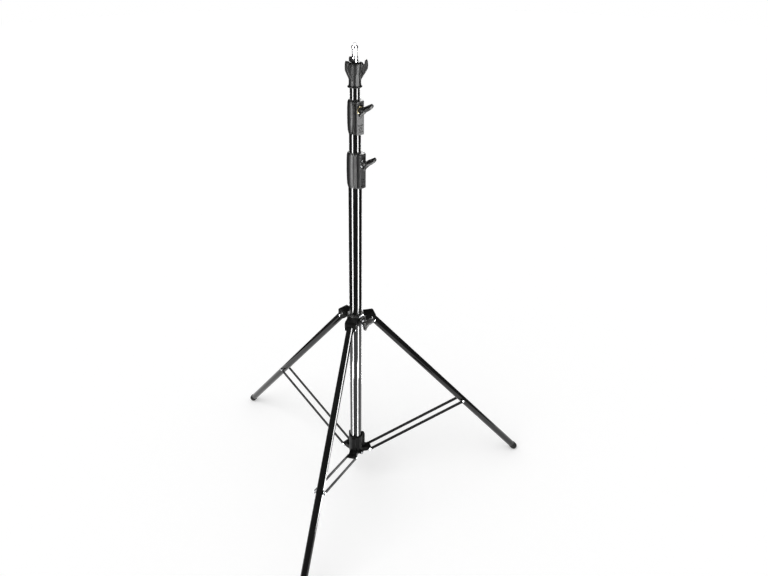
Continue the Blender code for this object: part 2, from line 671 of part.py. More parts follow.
def lug_pocket():
    """The room that the hub's lug sweeps in the head, from the spread leg to the folded one."""
    tilt = math.degrees(LEG_TILT)
    far = 3.0 * HEAD_INNER
    outline = [(-far, HEAD_SLOT_R)] + arc((0.0, 0.0), HEAD_SLOT_R, 90.0, tilt - 90.0, 8)
    return leg_frame(outline) + [(-far, -HEAD_SLOT_R)]


def build_leg(side, azimuth):
    """Head, rivet, tube and foot of one leg, all on its hinge."""
    hinge = empty("leg_hinge_" + side, hub_frame,
                  turn_z(azimuth) @ shift(x=PIVOT_R) @ Matrix.Rotation(-LEG_TILT, 4, "Y"))

    head = new_object("leg_head_" + side, prism(head_outline(), -HEAD_HALF_WIDTH, HEAD_HALF_WIDTH),
                      CASTING, hinge)
    across = 2 * HEAD_HALF_WIDTH
    rivet_place = shift(z=-HEAD_RIVET_Z)
    cut(head,
        (prism(lug_pocket(), -HEAD_SLOT_HALF, HEAD_SLOT_HALF), shift()),
        (rod(LEG_R + GAP, -across, -HEAD_SOCKET_TOP, LEG_SIDES), shift()),
        (pin_hole(LEG_PIN_R + GAP, across), ALONG_Y),
        (pin_hole(HEAD_RIVET_R + GAP, across), rivet_place @ ALONG_Y))
    rivet("leg_rivet_" + side, STEEL, hinge, rivet_place, HEAD_RIVET_R, HEAD_RIVET_HEAD_R,
          HEAD_HALF_WIDTH + GAP, PIN_DOME)

    tube_end = LEG_LENGTH - FOOT_CAP_LENGTH - GAP
    tube = new_object(
        "leg_tube_" + side,
        ring(LEG_R - LEG_WALL, LEG_R, -tube_end, -HEAD_SOCKET_TOP - GAP, LEG_SIDES),
        BLACK_TUBE, hinge)
    cut(tube, (pin_hole(HEAD_RIVET_R + GAP, across), rivet_place @ ALONG_Y))

    plug_r = LEG_R - LEG_WALL - GAP
    cap_top = -LEG_LENGTH + FOOT_CAP_LENGTH
    profile = [(0.0, cap_top + FOOT_PLUG_LENGTH), (plug_r - 0.0010, cap_top + FOOT_PLUG_LENGTH),
               (plug_r, cap_top + FOOT_PLUG_LENGTH - 0.0010), (plug_r, cap_top),
               (FOOT_R - 0.0006, cap_top), (FOOT_R, cap_top - 0.0008)]
    profile += [(FOOT_R * math.cos(a), -LEG_LENGTH - FOOT_R * math.sin(a))
                for a in (math.radians(22.5 * i) for i in range(4))]
    profile += [(0.0, -LEG_LENGTH - FOOT_R)]
    foot = new_object("foot_" + side, turned(profile, LEG_SIDES), RUBBER, hinge)
    bpy.context.view_layer.update()
    floor = box((-1.0, 1.0), (-1.0, 1.0), (-0.1, 0.0))
    cut(foot, (floor, foot.matrix_world.inverted()))


# Braces

def build_brace(side, azimuth):
    """Two straps and their rivets, which hold the leg between them."""
    hinge = empty("brace_hinge_" + side, stand,
                  turn_z(azimuth) @ shift(x=PIVOT_R, z=BRACKET_PIN_Z)
                  @ Matrix.Rotation(BRACE_TILT, 4, "Y"))
    neck = math.asin(STRAP_HALF_WIDTH / STRAP_EYE_R)
    opening = math.degrees(neck)
    outline = arc((0.0, 0.0), STRAP_EYE_R, 90.0 - opening, -270.0 + opening, steps=10)
    outline += arc((0.0, BRACE_LENGTH), STRAP_EYE_R, 270.0 - opening, -90.0 + opening, steps=10)
    for end, sign in (("a", -1.0), ("b", 1.0)):
        label = side + "_" + end
        offset = shift(y=sign * STRAP_OFFSET)
        bm = prism(outline, -STRAP_HALF_THICKNESS, STRAP_HALF_THICKNESS)
        strap = new_object("brace_strap_" + label, bm, STRAP_PAINT, hinge, offset)
        hole = BRACE_PIN_R + GAP
        cut(strap,
            (pin_hole(hole, 2 * STRAP_HALF_THICKNESS), ALONG_Y),
            (pin_hole(hole, 2 * STRAP_HALF_THICKNESS), shift(z=BRACE_LENGTH) @ ALONG_Y))
        outer = STRAP_HALF_THICKNESS + GAP
        spacer = STRAP_OFFSET - LEG_R - GAP
        shoulder_r = 0.0040
        profile = [
            (0.0, -spacer), (shoulder_r, -spacer), (shoulder_r, -outer), (BRACE_PIN_R, -outer),
            (BRACE_PIN_R, outer), (BRACE_PIN_HEAD_R, outer),
            (0.7 * BRACE_PIN_HEAD_R, outer + 0.7 * PIN_DOME), (0.0, outer + PIN_DOME),
        ]
        facing = Matrix.Rotation(math.radians(-90.0 * sign), 4, "X")
        new_object("brace_rivet_" + label, turned(profile, PIN_SIDES), STEEL, hinge,
                   offset @ shift(z=BRACE_LENGTH) @ facing)


# Top cap with its three stacking hooks, and the spigot

def build_top():
    """Cap with three hooks and three sunk panels, bored for the tube and for the spigot."""
    z0 = -TOP_TUBE_BOTTOM
    body = [
        (0.0, CAP_BOTTOM), (CAP_FLANGE_R - 0.0006, CAP_BOTTOM), (CAP_FLANGE_R, CAP_BOTTOM + 0.0006),
        (CAP_FLANGE_R, CAP_BOTTOM + 0.0024), (CAP_NECK_R + 0.0004, CAP_BOTTOM + 0.0050),
        (CAP_NECK_R, CAP_BOTTOM + 0.0100), (CAP_NECK_R + 0.0002, CAP_BOTTOM + 0.0280),
        (CAP_NECK_R + 0.0014, CAP_BOTTOM + 0.0370), (CAP_RIM_R - 0.0006, CAP_BOTTOM + 0.0470),
        (CAP_RIM_R, CAP_TOP - 0.0060), (CAP_RIM_R - 0.0008, CAP_TOP - 0.0022),
        (CAP_RIM_R - 0.0032, CAP_TOP), (0.0, CAP_TOP),
    ]
    cap = new_object("top_cap", turned(body, COLUMN_SIDES), CASTING, top_riser, shift(z=z0))
    notch_mid = (CAP_NOTCH_INNER + CAP_NOTCH_OUTER) / 2.0
    notch_r = (CAP_NOTCH_OUTER - CAP_NOTCH_INNER) / 2.0
    hook = [(0.0100, CAP_BOTTOM + 0.0150), (0.0150, CAP_BOTTOM + 0.0170),
            (CAP_HOOK_REACH - 0.0050, CAP_BOTTOM + 0.0360),
            (CAP_HOOK_REACH - 0.0010, CAP_BOTTOM + 0.0430),
            (CAP_HOOK_REACH, CAP_BOTTOM + 0.0510),
            (CAP_HOOK_REACH - 0.0010, CAP_HOOK_TOP - 0.0040),
            (CAP_HOOK_REACH - 0.0034, CAP_HOOK_TOP),
            (CAP_NOTCH_OUTER + 0.0012, CAP_HOOK_TOP - 0.0006)]
    hook += arc((notch_mid, CAP_NOTCH_BOTTOM + notch_r), notch_r, 0.0, -180.0)
    hook += [(CAP_NOTCH_INNER, CAP_TOP - 0.0010), (0.0100, CAP_TOP - 0.0010)]
    for turn in range(3):
        unite(cap, (prism(hook, -CAP_HOOK_HALF, CAP_HOOK_HALF),
                    turn_z(CAP_HOOK_AZIMUTH + 120.0 * turn)))
    tube_seat = TOP_TUBE_TOP + GAP
    bores = turned([
        (0.0, CAP_BOTTOM - OVERCUT), (TOP_TUBE_R + GAP, CAP_BOTTOM - OVERCUT),
        (TOP_TUBE_R + GAP, tube_seat), (SPIGOT_R + GAP, tube_seat),
        (SPIGOT_R + GAP, CAP_TOP + OVERCUT), (0.0, CAP_TOP + OVERCUT)], COLUMN_SIDES)
    cut(cap, (bores, shift()))
    panel = [(-0.0042, CAP_BOTTOM + 0.0040), (0.0042, CAP_BOTTOM + 0.0040)]
    panel += arc((0.0, CAP_BOTTOM + 0.0275), 0.0042, 0.0, 180.0)
    upright = Matrix.Rotation(math.radians(90.0), 4, "Z")
    for turn in range(3):
        place = turn_z(CAP_PANEL_AZIMUTH + 120.0 * turn) @ shift(x=CAP_NECK_R) @ upright
        cut(cap, (prism(panel, -0.0040, 0.0010), place))

    spigot = [
        (0.0, CAP_TOP - 0.0280), (SPIGOT_R - 0.0008, CAP_TOP - 0.0280),
        (SPIGOT_R, CAP_TOP - 0.0272), (SPIGOT_R, CAP_TOP + 0.0112),
        (SPIGOT_WAIST_R, CAP_TOP + 0.0128), (SPIGOT_WAIST_R, SPIGOT_SHOULDER - 0.0062),
        (SPIGOT_R, SPIGOT_SHOULDER - 0.0048), (SPIGOT_R, SPIGOT_SHOULDER - 0.0008),
        (SPIGOT_R - 0.0008, SPIGOT_SHOULDER), (SPIGOT_TIP_R, SPIGOT_SHOULDER),
        (SPIGOT_TIP_R, SPIGOT_TIP - 0.0006), (SPIGOT_TIP_R - 0.0006, SPIGOT_TIP),
        (0.0, SPIGOT_TIP),
    ]
    new_object("spigot", turned(spigot, COLUMN_SIDES), CHROME, top_riser, shift(z=z0))


# Assembly

build_tubes()
build_collar(BASE_COLLAR, stand, 0.0)
build_collar(MIDDLE_COLLAR, middle_riser, MIDDLE_TUBE_BOTTOM)
build_hub()
build_bracket()
build_top()
for leg_side, leg_azimuth in LEG_AZIMUTHS.items():
    build_leg(leg_side, leg_azimuth)
    build_brace(leg_side, leg_azimuth)

shoe_back = SHOE_THICKNESS + 2 * GAP
base_knob_frame = empty("base_knob_frame", stand, turn_z(BASE_COLLAR.azimuth) @
                        shift(z=BASE_COLLAR.knob_z))
build_knob("base_knob", base_knob_frame, BASE_COLLAR.reach, MIDDLE_TUBE_R + shoe_back,
           BASE_LEVER_TURN, CHROME)
middle_knob_frame = empty("middle_knob_frame", middle_riser, turn_z(MIDDLE_COLLAR.azimuth) @
                          shift(z=MIDDLE_COLLAR.knob_z - MIDDLE_TUBE_BOTTOM))
build_knob("middle_knob", middle_knob_frame, MIDDLE_COLLAR.reach, TOP_TUBE_R + shoe_back,
           MIDDLE_LEVER_TURN, BRASS)
hub_knob_frame = empty("hub_knob_frame", hub_frame, turn_z(KNOB_AZIMUTH) @
                       shift(z=HUB_KNOB_Z - HUB_PIN_Z))
build_knob("hub_knob", hub_knob_frame, HUB_BLOCK_REACH, HUB_SLEEVE_R + 2 * GAP, HUB_LEVER_TURN,
           STEEL)
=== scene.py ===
"""Looks of a folding light stand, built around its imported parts.

Lengths are metres in the row frame: +Z up, the front leg along -Y, the column on the axis of the
node base_tube. A new piece is worked out in a local frame and then placed in its mesh, so its
object stays at the origin. Its mesh keeps the local coordinates in the attribute "local", which
its finish reads. Castings are solids written as distance functions, negative inside, from which a
net of quads is drawn. Round pieces are outlines turned about an axis.
"""
import json
import logging
import math
from dataclasses import dataclass
from enum import Enum
from typing import Callable, Dict, Iterable, List, Optional, Sequence, Tuple, Union

import bmesh
import bpy
import numpy as np
from mathutils import Matrix, Vector

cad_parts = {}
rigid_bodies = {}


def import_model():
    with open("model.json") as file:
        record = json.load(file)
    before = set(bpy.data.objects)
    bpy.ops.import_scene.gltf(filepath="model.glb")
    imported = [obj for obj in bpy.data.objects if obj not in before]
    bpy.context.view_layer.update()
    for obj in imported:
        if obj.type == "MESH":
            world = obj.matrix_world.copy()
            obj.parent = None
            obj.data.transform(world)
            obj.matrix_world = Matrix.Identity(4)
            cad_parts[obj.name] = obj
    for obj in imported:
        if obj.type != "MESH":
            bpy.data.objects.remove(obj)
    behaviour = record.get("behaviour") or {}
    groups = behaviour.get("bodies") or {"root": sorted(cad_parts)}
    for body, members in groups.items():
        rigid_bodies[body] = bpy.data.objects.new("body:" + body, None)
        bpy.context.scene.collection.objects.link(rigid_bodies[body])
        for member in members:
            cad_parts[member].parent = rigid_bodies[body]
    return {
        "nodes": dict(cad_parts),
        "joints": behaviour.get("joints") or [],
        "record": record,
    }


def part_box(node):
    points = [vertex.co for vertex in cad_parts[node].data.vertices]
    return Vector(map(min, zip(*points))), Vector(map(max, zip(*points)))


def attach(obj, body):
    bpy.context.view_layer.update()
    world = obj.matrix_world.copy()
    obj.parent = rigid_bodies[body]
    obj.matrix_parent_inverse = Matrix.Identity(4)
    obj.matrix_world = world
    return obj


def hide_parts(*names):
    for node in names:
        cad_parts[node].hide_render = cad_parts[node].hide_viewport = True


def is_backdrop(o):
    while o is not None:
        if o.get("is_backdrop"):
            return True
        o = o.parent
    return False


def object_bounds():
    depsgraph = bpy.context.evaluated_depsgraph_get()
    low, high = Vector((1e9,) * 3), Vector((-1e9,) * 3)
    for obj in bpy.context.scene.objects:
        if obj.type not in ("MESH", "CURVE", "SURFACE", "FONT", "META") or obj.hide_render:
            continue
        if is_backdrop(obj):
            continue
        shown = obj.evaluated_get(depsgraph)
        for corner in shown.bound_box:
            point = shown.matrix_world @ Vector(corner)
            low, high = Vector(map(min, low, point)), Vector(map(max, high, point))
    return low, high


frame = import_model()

CAD_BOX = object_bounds()
LOG = logging.getLogger("light_stand")

Point2 = Tuple[float, float]
Outline = List[Point2]
Number = Union[float, "Value"]
Inputs = Dict[Union[int, str], object]
Named = Tuple[Tuple[str, float], ...]

MM = 0.001
GAP = 0.3 * MM
BASE_RADIUS = 17.5 * MM
MIDDLE_RADIUS = 15.0 * MM
TOP_RADIUS = 12.5 * MM
LEG_RADIUS = 10.5 * MM
KNOB_BORE = 4.4 * MM
LEG_PIN_BORE = 3.3 * MM
BRACE_PIN_BORE = 2.8 * MM
PIN_REACH = 15.8 * MM
PIVOT = 43.0 * MM
MIRROR_Y = np.array((1.0, 0.0, 1.0))
LOCAL = "local"
WELD_REACH = 1e-6


# Frames

def turn_z(degrees: float) -> Matrix:
    """A turn about Z, in degrees."""
    return Matrix.Rotation(math.radians(degrees), 4, "Z")


def turn_y(degrees: float) -> Matrix:
    """A turn about Y, in degrees."""
    return Matrix.Rotation(math.radians(degrees), 4, "Y")


def turn_x(degrees: float) -> Matrix:
    """A turn about X, in degrees."""
    return Matrix.Rotation(math.radians(degrees), 4, "X")


def shift(x: float = 0.0, y: float = 0.0, z: float = 0.0) -> Matrix:
    """A move along the three axes."""
    return Matrix.Translation(Vector((x, y, z)))


def column_axis() -> Vector:
    """The foot of the column's axis, at floor level.

    Returns:
        The middle of base_tube's box, brought down to height 0.
    """
    low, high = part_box("base_tube")
    middle = (low + high) / 2.0
    return Vector((middle.x, middle.y, 0.0))


def on_column(azimuth: float = 0.0, height: float = 0.0) -> Matrix:
    """A frame on the column's axis, at a height, with X turned to an azimuth in degrees."""
    return Matrix.Translation(column_axis()) @ shift(z=height) @ turn_z(azimuth)


def lying(x: float = 0.0, z: float = 0.0) -> Matrix:
    """A frame at (x, 0, z) whose Z axis lies along -Y."""
    return shift(x=x, z=z) @ turn_x(90.0)


def outward(x: float = 0.0, z: float = 0.0) -> Matrix:
    """A frame at (x, 0, z) whose Z axis points along X."""
    return shift(x=x, z=z) @ turn_y(90.0)


def joint(name: str) -> dict:
    """The record's joint of that name."""
    return next(j for j in frame["joints"] if j["name"] == name)


# Outlines

def arc(centre: Point2, radius: float, start: float, end: float, steps: int = 10) -> Outline:
    """Points at equal angles, in degrees, along a circle's arc, both ends included."""
    angles = np.radians(np.linspace(start, end, steps + 1))
    return [(centre[0] + radius * math.cos(a), centre[1] + radius * math.sin(a)) for a in angles]


def rounded(outline: Outline, radius: float, steps: int = 3) -> Outline:
    """Replace each corner off the axis u = 0 by a quadratic curve between two points on its sides.

    The curve starts and ends at the given distance from the corner, or at 0.4 of the shorter side,
    and leans on the corner: point = (1-t)^2 a + 2t(1-t) corner + t^2 b.

    Args:
        outline: the closed outline's corners.
        radius: distance from a corner at which its curve starts.
        steps: number of chords in each curve.

    Returns:
        The new outline.
    """
    made: Outline = []
    count = len(outline)
    for i, corner in enumerate(outline):
        here = np.array(corner)
        before = np.array(outline[i - 1]) - here
        after = np.array(outline[(i + 1) % count]) - here
        if abs(corner[0]) < 1e-9:
            made.append(corner)
            continue
        back, ahead = np.linalg.norm(before), np.linalg.norm(after)
        reach = min(radius, 0.4 * back, 0.4 * ahead)
        a, b = here + before / back * reach, here + after / ahead * reach
        for t in np.linspace(0.0, 1.0, steps + 1):
            point = (1 - t) ** 2 * a + 2 * t * (1 - t) * here + t ** 2 * b
            made.append((float(point[0]), float(point[1])))
    return made


def outline_distance(outline: Outline, u: np.ndarray, v: np.ndarray) -> np.ndarray:
    """Distance to a closed outline, negative inside.

    The size is the least distance to any side, and the sign flips at each side that a ray towards
    +u crosses.

    Args:
        outline: the outline's corners.
        u: first coordinates of the points.
        v: second coordinates of the points.

    Returns:
        The signed distances, shaped as u.
    """
    nearest = np.full(u.shape, np.inf)
    outside = np.ones(u.shape, bool)
    for (au, av), (bu, bv) in zip(outline, outline[1:] + outline[:1]):
        eu, ev = bu - au, bv - av
        length = eu * eu + ev * ev
        if length < 1e-16:
            continue
        wu, wv = u - au, v - av
        t = np.clip((wu * eu + wv * ev) / length, 0.0, 1.0)
        nearest = np.minimum(nearest, (wu - eu * t) ** 2 + (wv - ev * t) ** 2)
        if av != bv:
            crosses = ((av <= v) != (bv <= v)) & (wu < eu * wv / ev)
            outside ^= crosses
    return np.where(outside, 1.0, -1.0) * np.sqrt(nearest)


# Solids as distance functions

@dataclass(frozen=True)
class Solid:
    """A solid body given by the distance to its surface, negative inside."""

    distance: Callable[[np.ndarray], np.ndarray]

    def placed(self, matrix: Matrix) -> "Solid":
        """The solid moved by a matrix.

        Args:
            matrix: where the solid's own frame goes.

        Returns:
            The moved solid: a point is taken back before its distance.
        """
        back = np.array(matrix.inverted())
        turn, move = back[:3, :3], back[:3, 3]
        return Solid(lambda p: self.distance(p @ turn.T + move))

    def joined(self, other: "Solid", blend: float = 0.0) -> "Solid":
        """Union: the lesser distance, with a fillet of about the blend's size."""
        return Solid(lambda p: soft_least(self.distance(p), other.distance(p), blend))

    def without(self, other: "Solid", blend: float = 0.0) -> "Solid":
        """Difference: the greater of this distance and the other's negative, with a soft rim."""
        return Solid(lambda p: -soft_least(-self.distance(p), other.distance(p), blend))

    def thrice(self, azimuth: float) -> "Solid":
        """Three copies a third of a turn apart: each point is turned into the nearest copy's frame.

        Args:
            azimuth: where the first copy's X axis points, in degrees.

        Returns:
            The three copies, for a solid that is mirrored in its own XZ plane.
        """
        start, third = math.radians(azimuth), 2.0 * math.pi / 3.0

        def distance(p: np.ndarray) -> np.ndarray:
            """Distance to the copy whose third holds the point.

            Args:
                p: the points.

            Returns:
                Their distances.
            """
            angle = np.arctan2(p[..., 1], p[..., 0]) - start
            turn = np.round(angle / third) * third + start
            along, across = np.cos(turn), np.sin(turn)
            turned_back = (p[..., 0] * along + p[..., 1] * across,
                           p[..., 1] * along - p[..., 0] * across, p[..., 2])
            return self.distance(np.stack(turned_back, axis=-1))

        return Solid(distance)


def soft_least(a: np.ndarray, b: np.ndarray, blend: float) -> np.ndarray:
    """The lesser of two values, less h^2 * blend / 4 where they differ by under the blend.

    Args:
        a: first values.
        b: second values.
        blend: width of the blend; h is the share of it by which they are closer.

    Returns:
        The blended lesser values.
    """
    if blend <= 0.0:
        return np.minimum(a, b)
    h = np.maximum(blend - np.abs(a - b), 0.0) / blend
    return np.minimum(a, b) - h * h * blend / 4.0


def rim_distance(across: np.ndarray, along: np.ndarray, edge: float) -> np.ndarray:
    """Distance to a body bounded by two surfaces, with its rim rounded.

    Args:
        across: distance to the first surface.
        along: distance to the second surface.
        edge: radius of the rim.

    Returns:
        The distance to the rounded body.
    """
    a, b = across + edge, along + edge
    outer = np.sqrt(np.maximum(a, 0.0) ** 2 + np.maximum(b, 0.0) ** 2)
    return np.minimum(np.maximum(a, b), 0.0) + outer - edge


def bar(radius: float, low: float, high: float, edge: float = 0.0) -> Solid:
    """A round bar along Z between two heights, with rounded rims.

    Args:
        radius: the bar's radius.
        low: its lower end.
        high: its upper end.
        edge: rounding of its rims.

    Returns:
        The bar.
    """
    middle, half = (low + high) / 2.0, (high - low) / 2.0
    return Solid(lambda p: rim_distance(
        np.hypot(p[..., 0], p[..., 1]) - radius, np.abs(p[..., 2] - middle) - half, edge))


def lathe_solid(outline: Outline) -> Solid:
    """A (radius, z) outline turned about Z."""
    mirrored = outline + [(-r, z) for r, z in reversed(outline) if r > 0.0]
    return Solid(lambda p: outline_distance(mirrored, np.hypot(p[..., 0], p[..., 1]), p[..., 2]))


class Plane(Enum):
    """The plane that a plate's outline lies in: first axis, second axis, thickness axis."""

    XY = (0, 1, 2)
    XZ = (0, 2, 1)


def plate(outline: Outline, low: float, high: float, edge: float, plane: Plane) -> Solid:
    """A flat outline with a thickness and rounded rims.

    Args:
        outline: the plate's outline.
        low: start of the thickness.
        high: end of the thickness.
        edge: radius of the rims.
        plane: the plane of the outline.

    Returns:
        The plate.
    """
    first, second, third = plane.value
    middle, half = (low + high) / 2.0, (high - low) / 2.0
    return Solid(lambda p: rim_distance(
        outline_distance(outline, p[..., first], p[..., second]),
        np.abs(p[..., third] - middle) - half, edge))


def block(half_x: float, half_y: float, half_z: float) -> Solid:
    """A box about the origin: the greatest of the three distances to its pairs of faces."""
    halves = np.array((half_x, half_y, half_z))
    return Solid(lambda p: np.max(np.abs(p) - halves, axis=-1))


def joined_all(solids: Sequence[Solid], blend: float = 0.0) -> Solid:
    """The union of several solids.

    Args:
        solids: what to join.
        blend: fillet between them.

    Returns:
        The union.
    """
    made = solids[0]
    for solid in solids[1:]:
        made = made.joined(solid, blend)
    return made


# Surfaces

@dataclass(frozen=True)
class Surface:
    """Points and quads of one closed surface, and its normals where they are known."""

    points: np.ndarray
    quads: np.ndarray
    normals: Optional[np.ndarray] = None


def even(low: float, high: float, step: float) -> np.ndarray:
    """Grid lines a step apart that reach two steps past both ends of a body."""
    return np.arange(low - 2.0 * step, high + 2.5 * step, step)


def even_grid(step: float, *spans: Point2) -> List[np.ndarray]:
    """Even lines over the body's span along X, along Y and along Z."""
    return [even(low, high, step) for low, high in spans]


SETTLING_STEPS = 3
BAND_STRIDE = 4
BAND_CELLS = math.sqrt(3.0) * (BAND_STRIDE - 1) + 1.5


def sampled(solid: Solid, grid: np.ndarray, cell: float) -> np.ndarray:
    """Distances on a grid, exact near the surface and rough away from it.

    Every fourth node is worked out first and its value stands for its neighbours. Where that
    value is small enough for the surface to be near, the nodes are worked out themselves.

    Args:
        solid: the body.
        grid: the nodes, shaped (nx, ny, nz, 3).
        cell: the largest distance between neighbouring nodes.

    Returns:
        The distances, shaped (nx, ny, nz).
    """
    rough = solid.distance(grid[::BAND_STRIDE, ::BAND_STRIDE, ::BAND_STRIDE])
    for axis in range(3):
        rough = np.repeat(rough, BAND_STRIDE, axis=axis)
        rough = np.take(rough, np.arange(grid.shape[axis]), axis=axis)
    near = np.abs(rough) < BAND_CELLS * cell
    value = rough.copy()
    value[near] = solid.distance(grid[near])
    return value


def gradient(solid: Solid, points: np.ndarray) -> np.ndarray:
    """The direction in which the distance grows, by central differences, with length one.

    Args:
        solid: the body.
        points: where to look.

    Returns:
        Unit vectors, one for each point.
    """
    reach = 0.02 * MM
    slope = np.empty_like(points)
    for axis in range(3):
        move = np.zeros(3)
        move[axis] = reach
        slope[:, axis] = solid.distance(points + move) - solid.distance(points - move)
    length = np.linalg.norm(slope, axis=1, keepdims=True)
    return slope / np.maximum(length, 1e-12)


def net(solid: Solid, lines: Sequence[np.ndarray]) -> Surface:
    """Draw a net of quads over a solid's surface.

    Each grid cell that the surface passes through gets one point, at the mean of the places where
    it crosses the cell's edges. Each grid edge that it crosses gets the quad of the four cells
    round that edge. The points are then moved down the distance function onto the surface.

    Args:
        solid: the body.
        lines: the grid's X, Y and Z coordinates, which reach past the body on every side.

    Returns:
        The surface, with its normals.
    """
    grid = np.stack(np.meshgrid(*lines, indexing="ij"), axis=-1)
    cell = float(max(np.diff(line).max() for line in lines))
    value = sampled(solid, grid, cell)
    inside = value < 0.0
    shape = tuple(n - 1 for n in value.shape)
    total, count = np.zeros(shape + (3,)), np.zeros(shape)
    for axis in range(3):
        lower = [slice(None)] * 3
        upper = [slice(None)] * 3
        lower[axis], upper[axis] = slice(None, -1), slice(1, None)
        low, high = tuple(lower), tuple(upper)
        crossed = inside[low] != inside[high]
        span = np.where(crossed, value[low] - value[high], 1.0)
        share = np.where(crossed, value[low] / span, 0.0)[..., None]
        where = (grid[low] * (1.0 - share) + grid[high] * share) * crossed[..., None]
        others = [a for a in range(3) if a != axis]
        for first in (0, 1):
            for second in (0, 1):
                part = [slice(None)] * 3
                part[others[0]] = slice(first, first + shape[others[0]])
                part[others[1]] = slice(second, second + shape[others[1]])
                total += where[tuple(part)]
                count += crossed[tuple(part)]
    used = count > 0
    number = np.full(shape, -1)
    number[used] = np.arange(int(used.sum()))
    points = total[used] / count[used][:, None]
    quads = []
    for axis in range(3):
        order = (axis, (axis + 1) % 3, (axis + 2) % 3)
        inner = inside.transpose(order)
        cells = number.transpose(order)
        starts = inner[:-1, 1:-1, 1:-1]
        crossed = starts != inner[1:, 1:-1, 1:-1]
        ring = np.stack((cells[:, :-1, :-1], cells[:, 1:, :-1], cells[:, 1:, 1:],
                         cells[:, :-1, 1:]), axis=-1)
        leaving = ring[crossed & starts]
        entering = ring[crossed & ~starts][:, ::-1]
        quads += [leaving, entering]
    for _ in range(SETTLING_STEPS):
        step = solid.distance(points)[:, None] * gradient(solid, points)
        points = points - np.clip(step, -0.5 * cell, 0.5 * cell)
    return Surface(points, np.concatenate(quads), gradient(solid, points))


def turned(outline: Outline, around: int = 96, sheet: bool = False) -> Surface:
    """Turn a (radius, z) outline about Z: the point (r, z) at angle a is (r cos a, r sin a, z).

    Args:
        outline: runs counter-clockwise with the radius to the right. One that starts and ends on
            the axis is left open there, and its ends close to points.
        around: number of steps in the turn.
        sheet: leave the outline open wherever it ends.

    Returns:
        The surface.
    """
    angles = np.linspace(0.0, 2.0 * math.pi, around, endpoint=False)
    profile = np.array(outline)
    radius, height = profile[:, :1], profile[:, 1:]
    points = np.stack((radius * np.cos(angles), radius * np.sin(angles),
                       height + 0.0 * angles), axis=-1)
    rows = len(outline)
    number = np.arange(rows * around).reshape(rows, around)
    is_open = sheet or (outline[0][0] == 0.0 and outline[-1][0] == 0.0)
    ahead = number[1:] if is_open else np.roll(number, -1, axis=0)
    here = number[:-1] if is_open else number
    quads = np.stack((here, np.roll(here, -1, axis=1), np.roll(ahead, -1, axis=1), ahead), axis=-1)
    return Surface(points.reshape(-1, 3), quads.reshape(-1, 4))


# Shader nodes

class Value:
    """What a node gives out, with Python's operators adding Math nodes."""

    def __init__(self, graph: "Graph", socket: bpy.types.NodeSocket) -> None:
        """Wrap an output socket of a graph."""
        self.graph = graph
        self.socket = socket

    def math(self, operation: str, first: Number, second: Number = 0.0) -> "Value":
        """The result of a new Math node."""
        return self.graph.node("ShaderNodeMath", {"operation": operation}, {0: first, 1: second})

    def __add__(self, other: Number) -> "Value":
        """Sum."""
        return self.math("ADD", self, other)

    def __radd__(self, other: Number) -> "Value":
        """Sum, reflected."""
        return self.math("ADD", other, self)

    def __sub__(self, other: Number) -> "Value":
        """Difference."""
        return self.math("SUBTRACT", self, other)

    def __rsub__(self, other: Number) -> "Value":
        """Difference, reflected."""
        return self.math("SUBTRACT", other, self)

    def __mul__(self, other: Number) -> "Value":
        """Product."""
        return self.math("MULTIPLY", self, other)

    def __rmul__(self, other: Number) -> "Value":
        """Product, reflected."""
        return self.math("MULTIPLY", other, self)

    def above(self, level: float, width: float) -> "Value":
        """A soft step from 0 to 1, so wide, with its middle at the level.

        Args:
            level: the value at the step's middle.
            width: how far the step reaches.

        Returns:
            The step's height.
        """
        ends = {"From Min": level - width / 2.0, "From Max": level + width / 2.0}
        return self.graph.node("ShaderNodeMapRange", {"interpolation_type": "SMOOTHSTEP"},
                               {"Value": self, **ends})


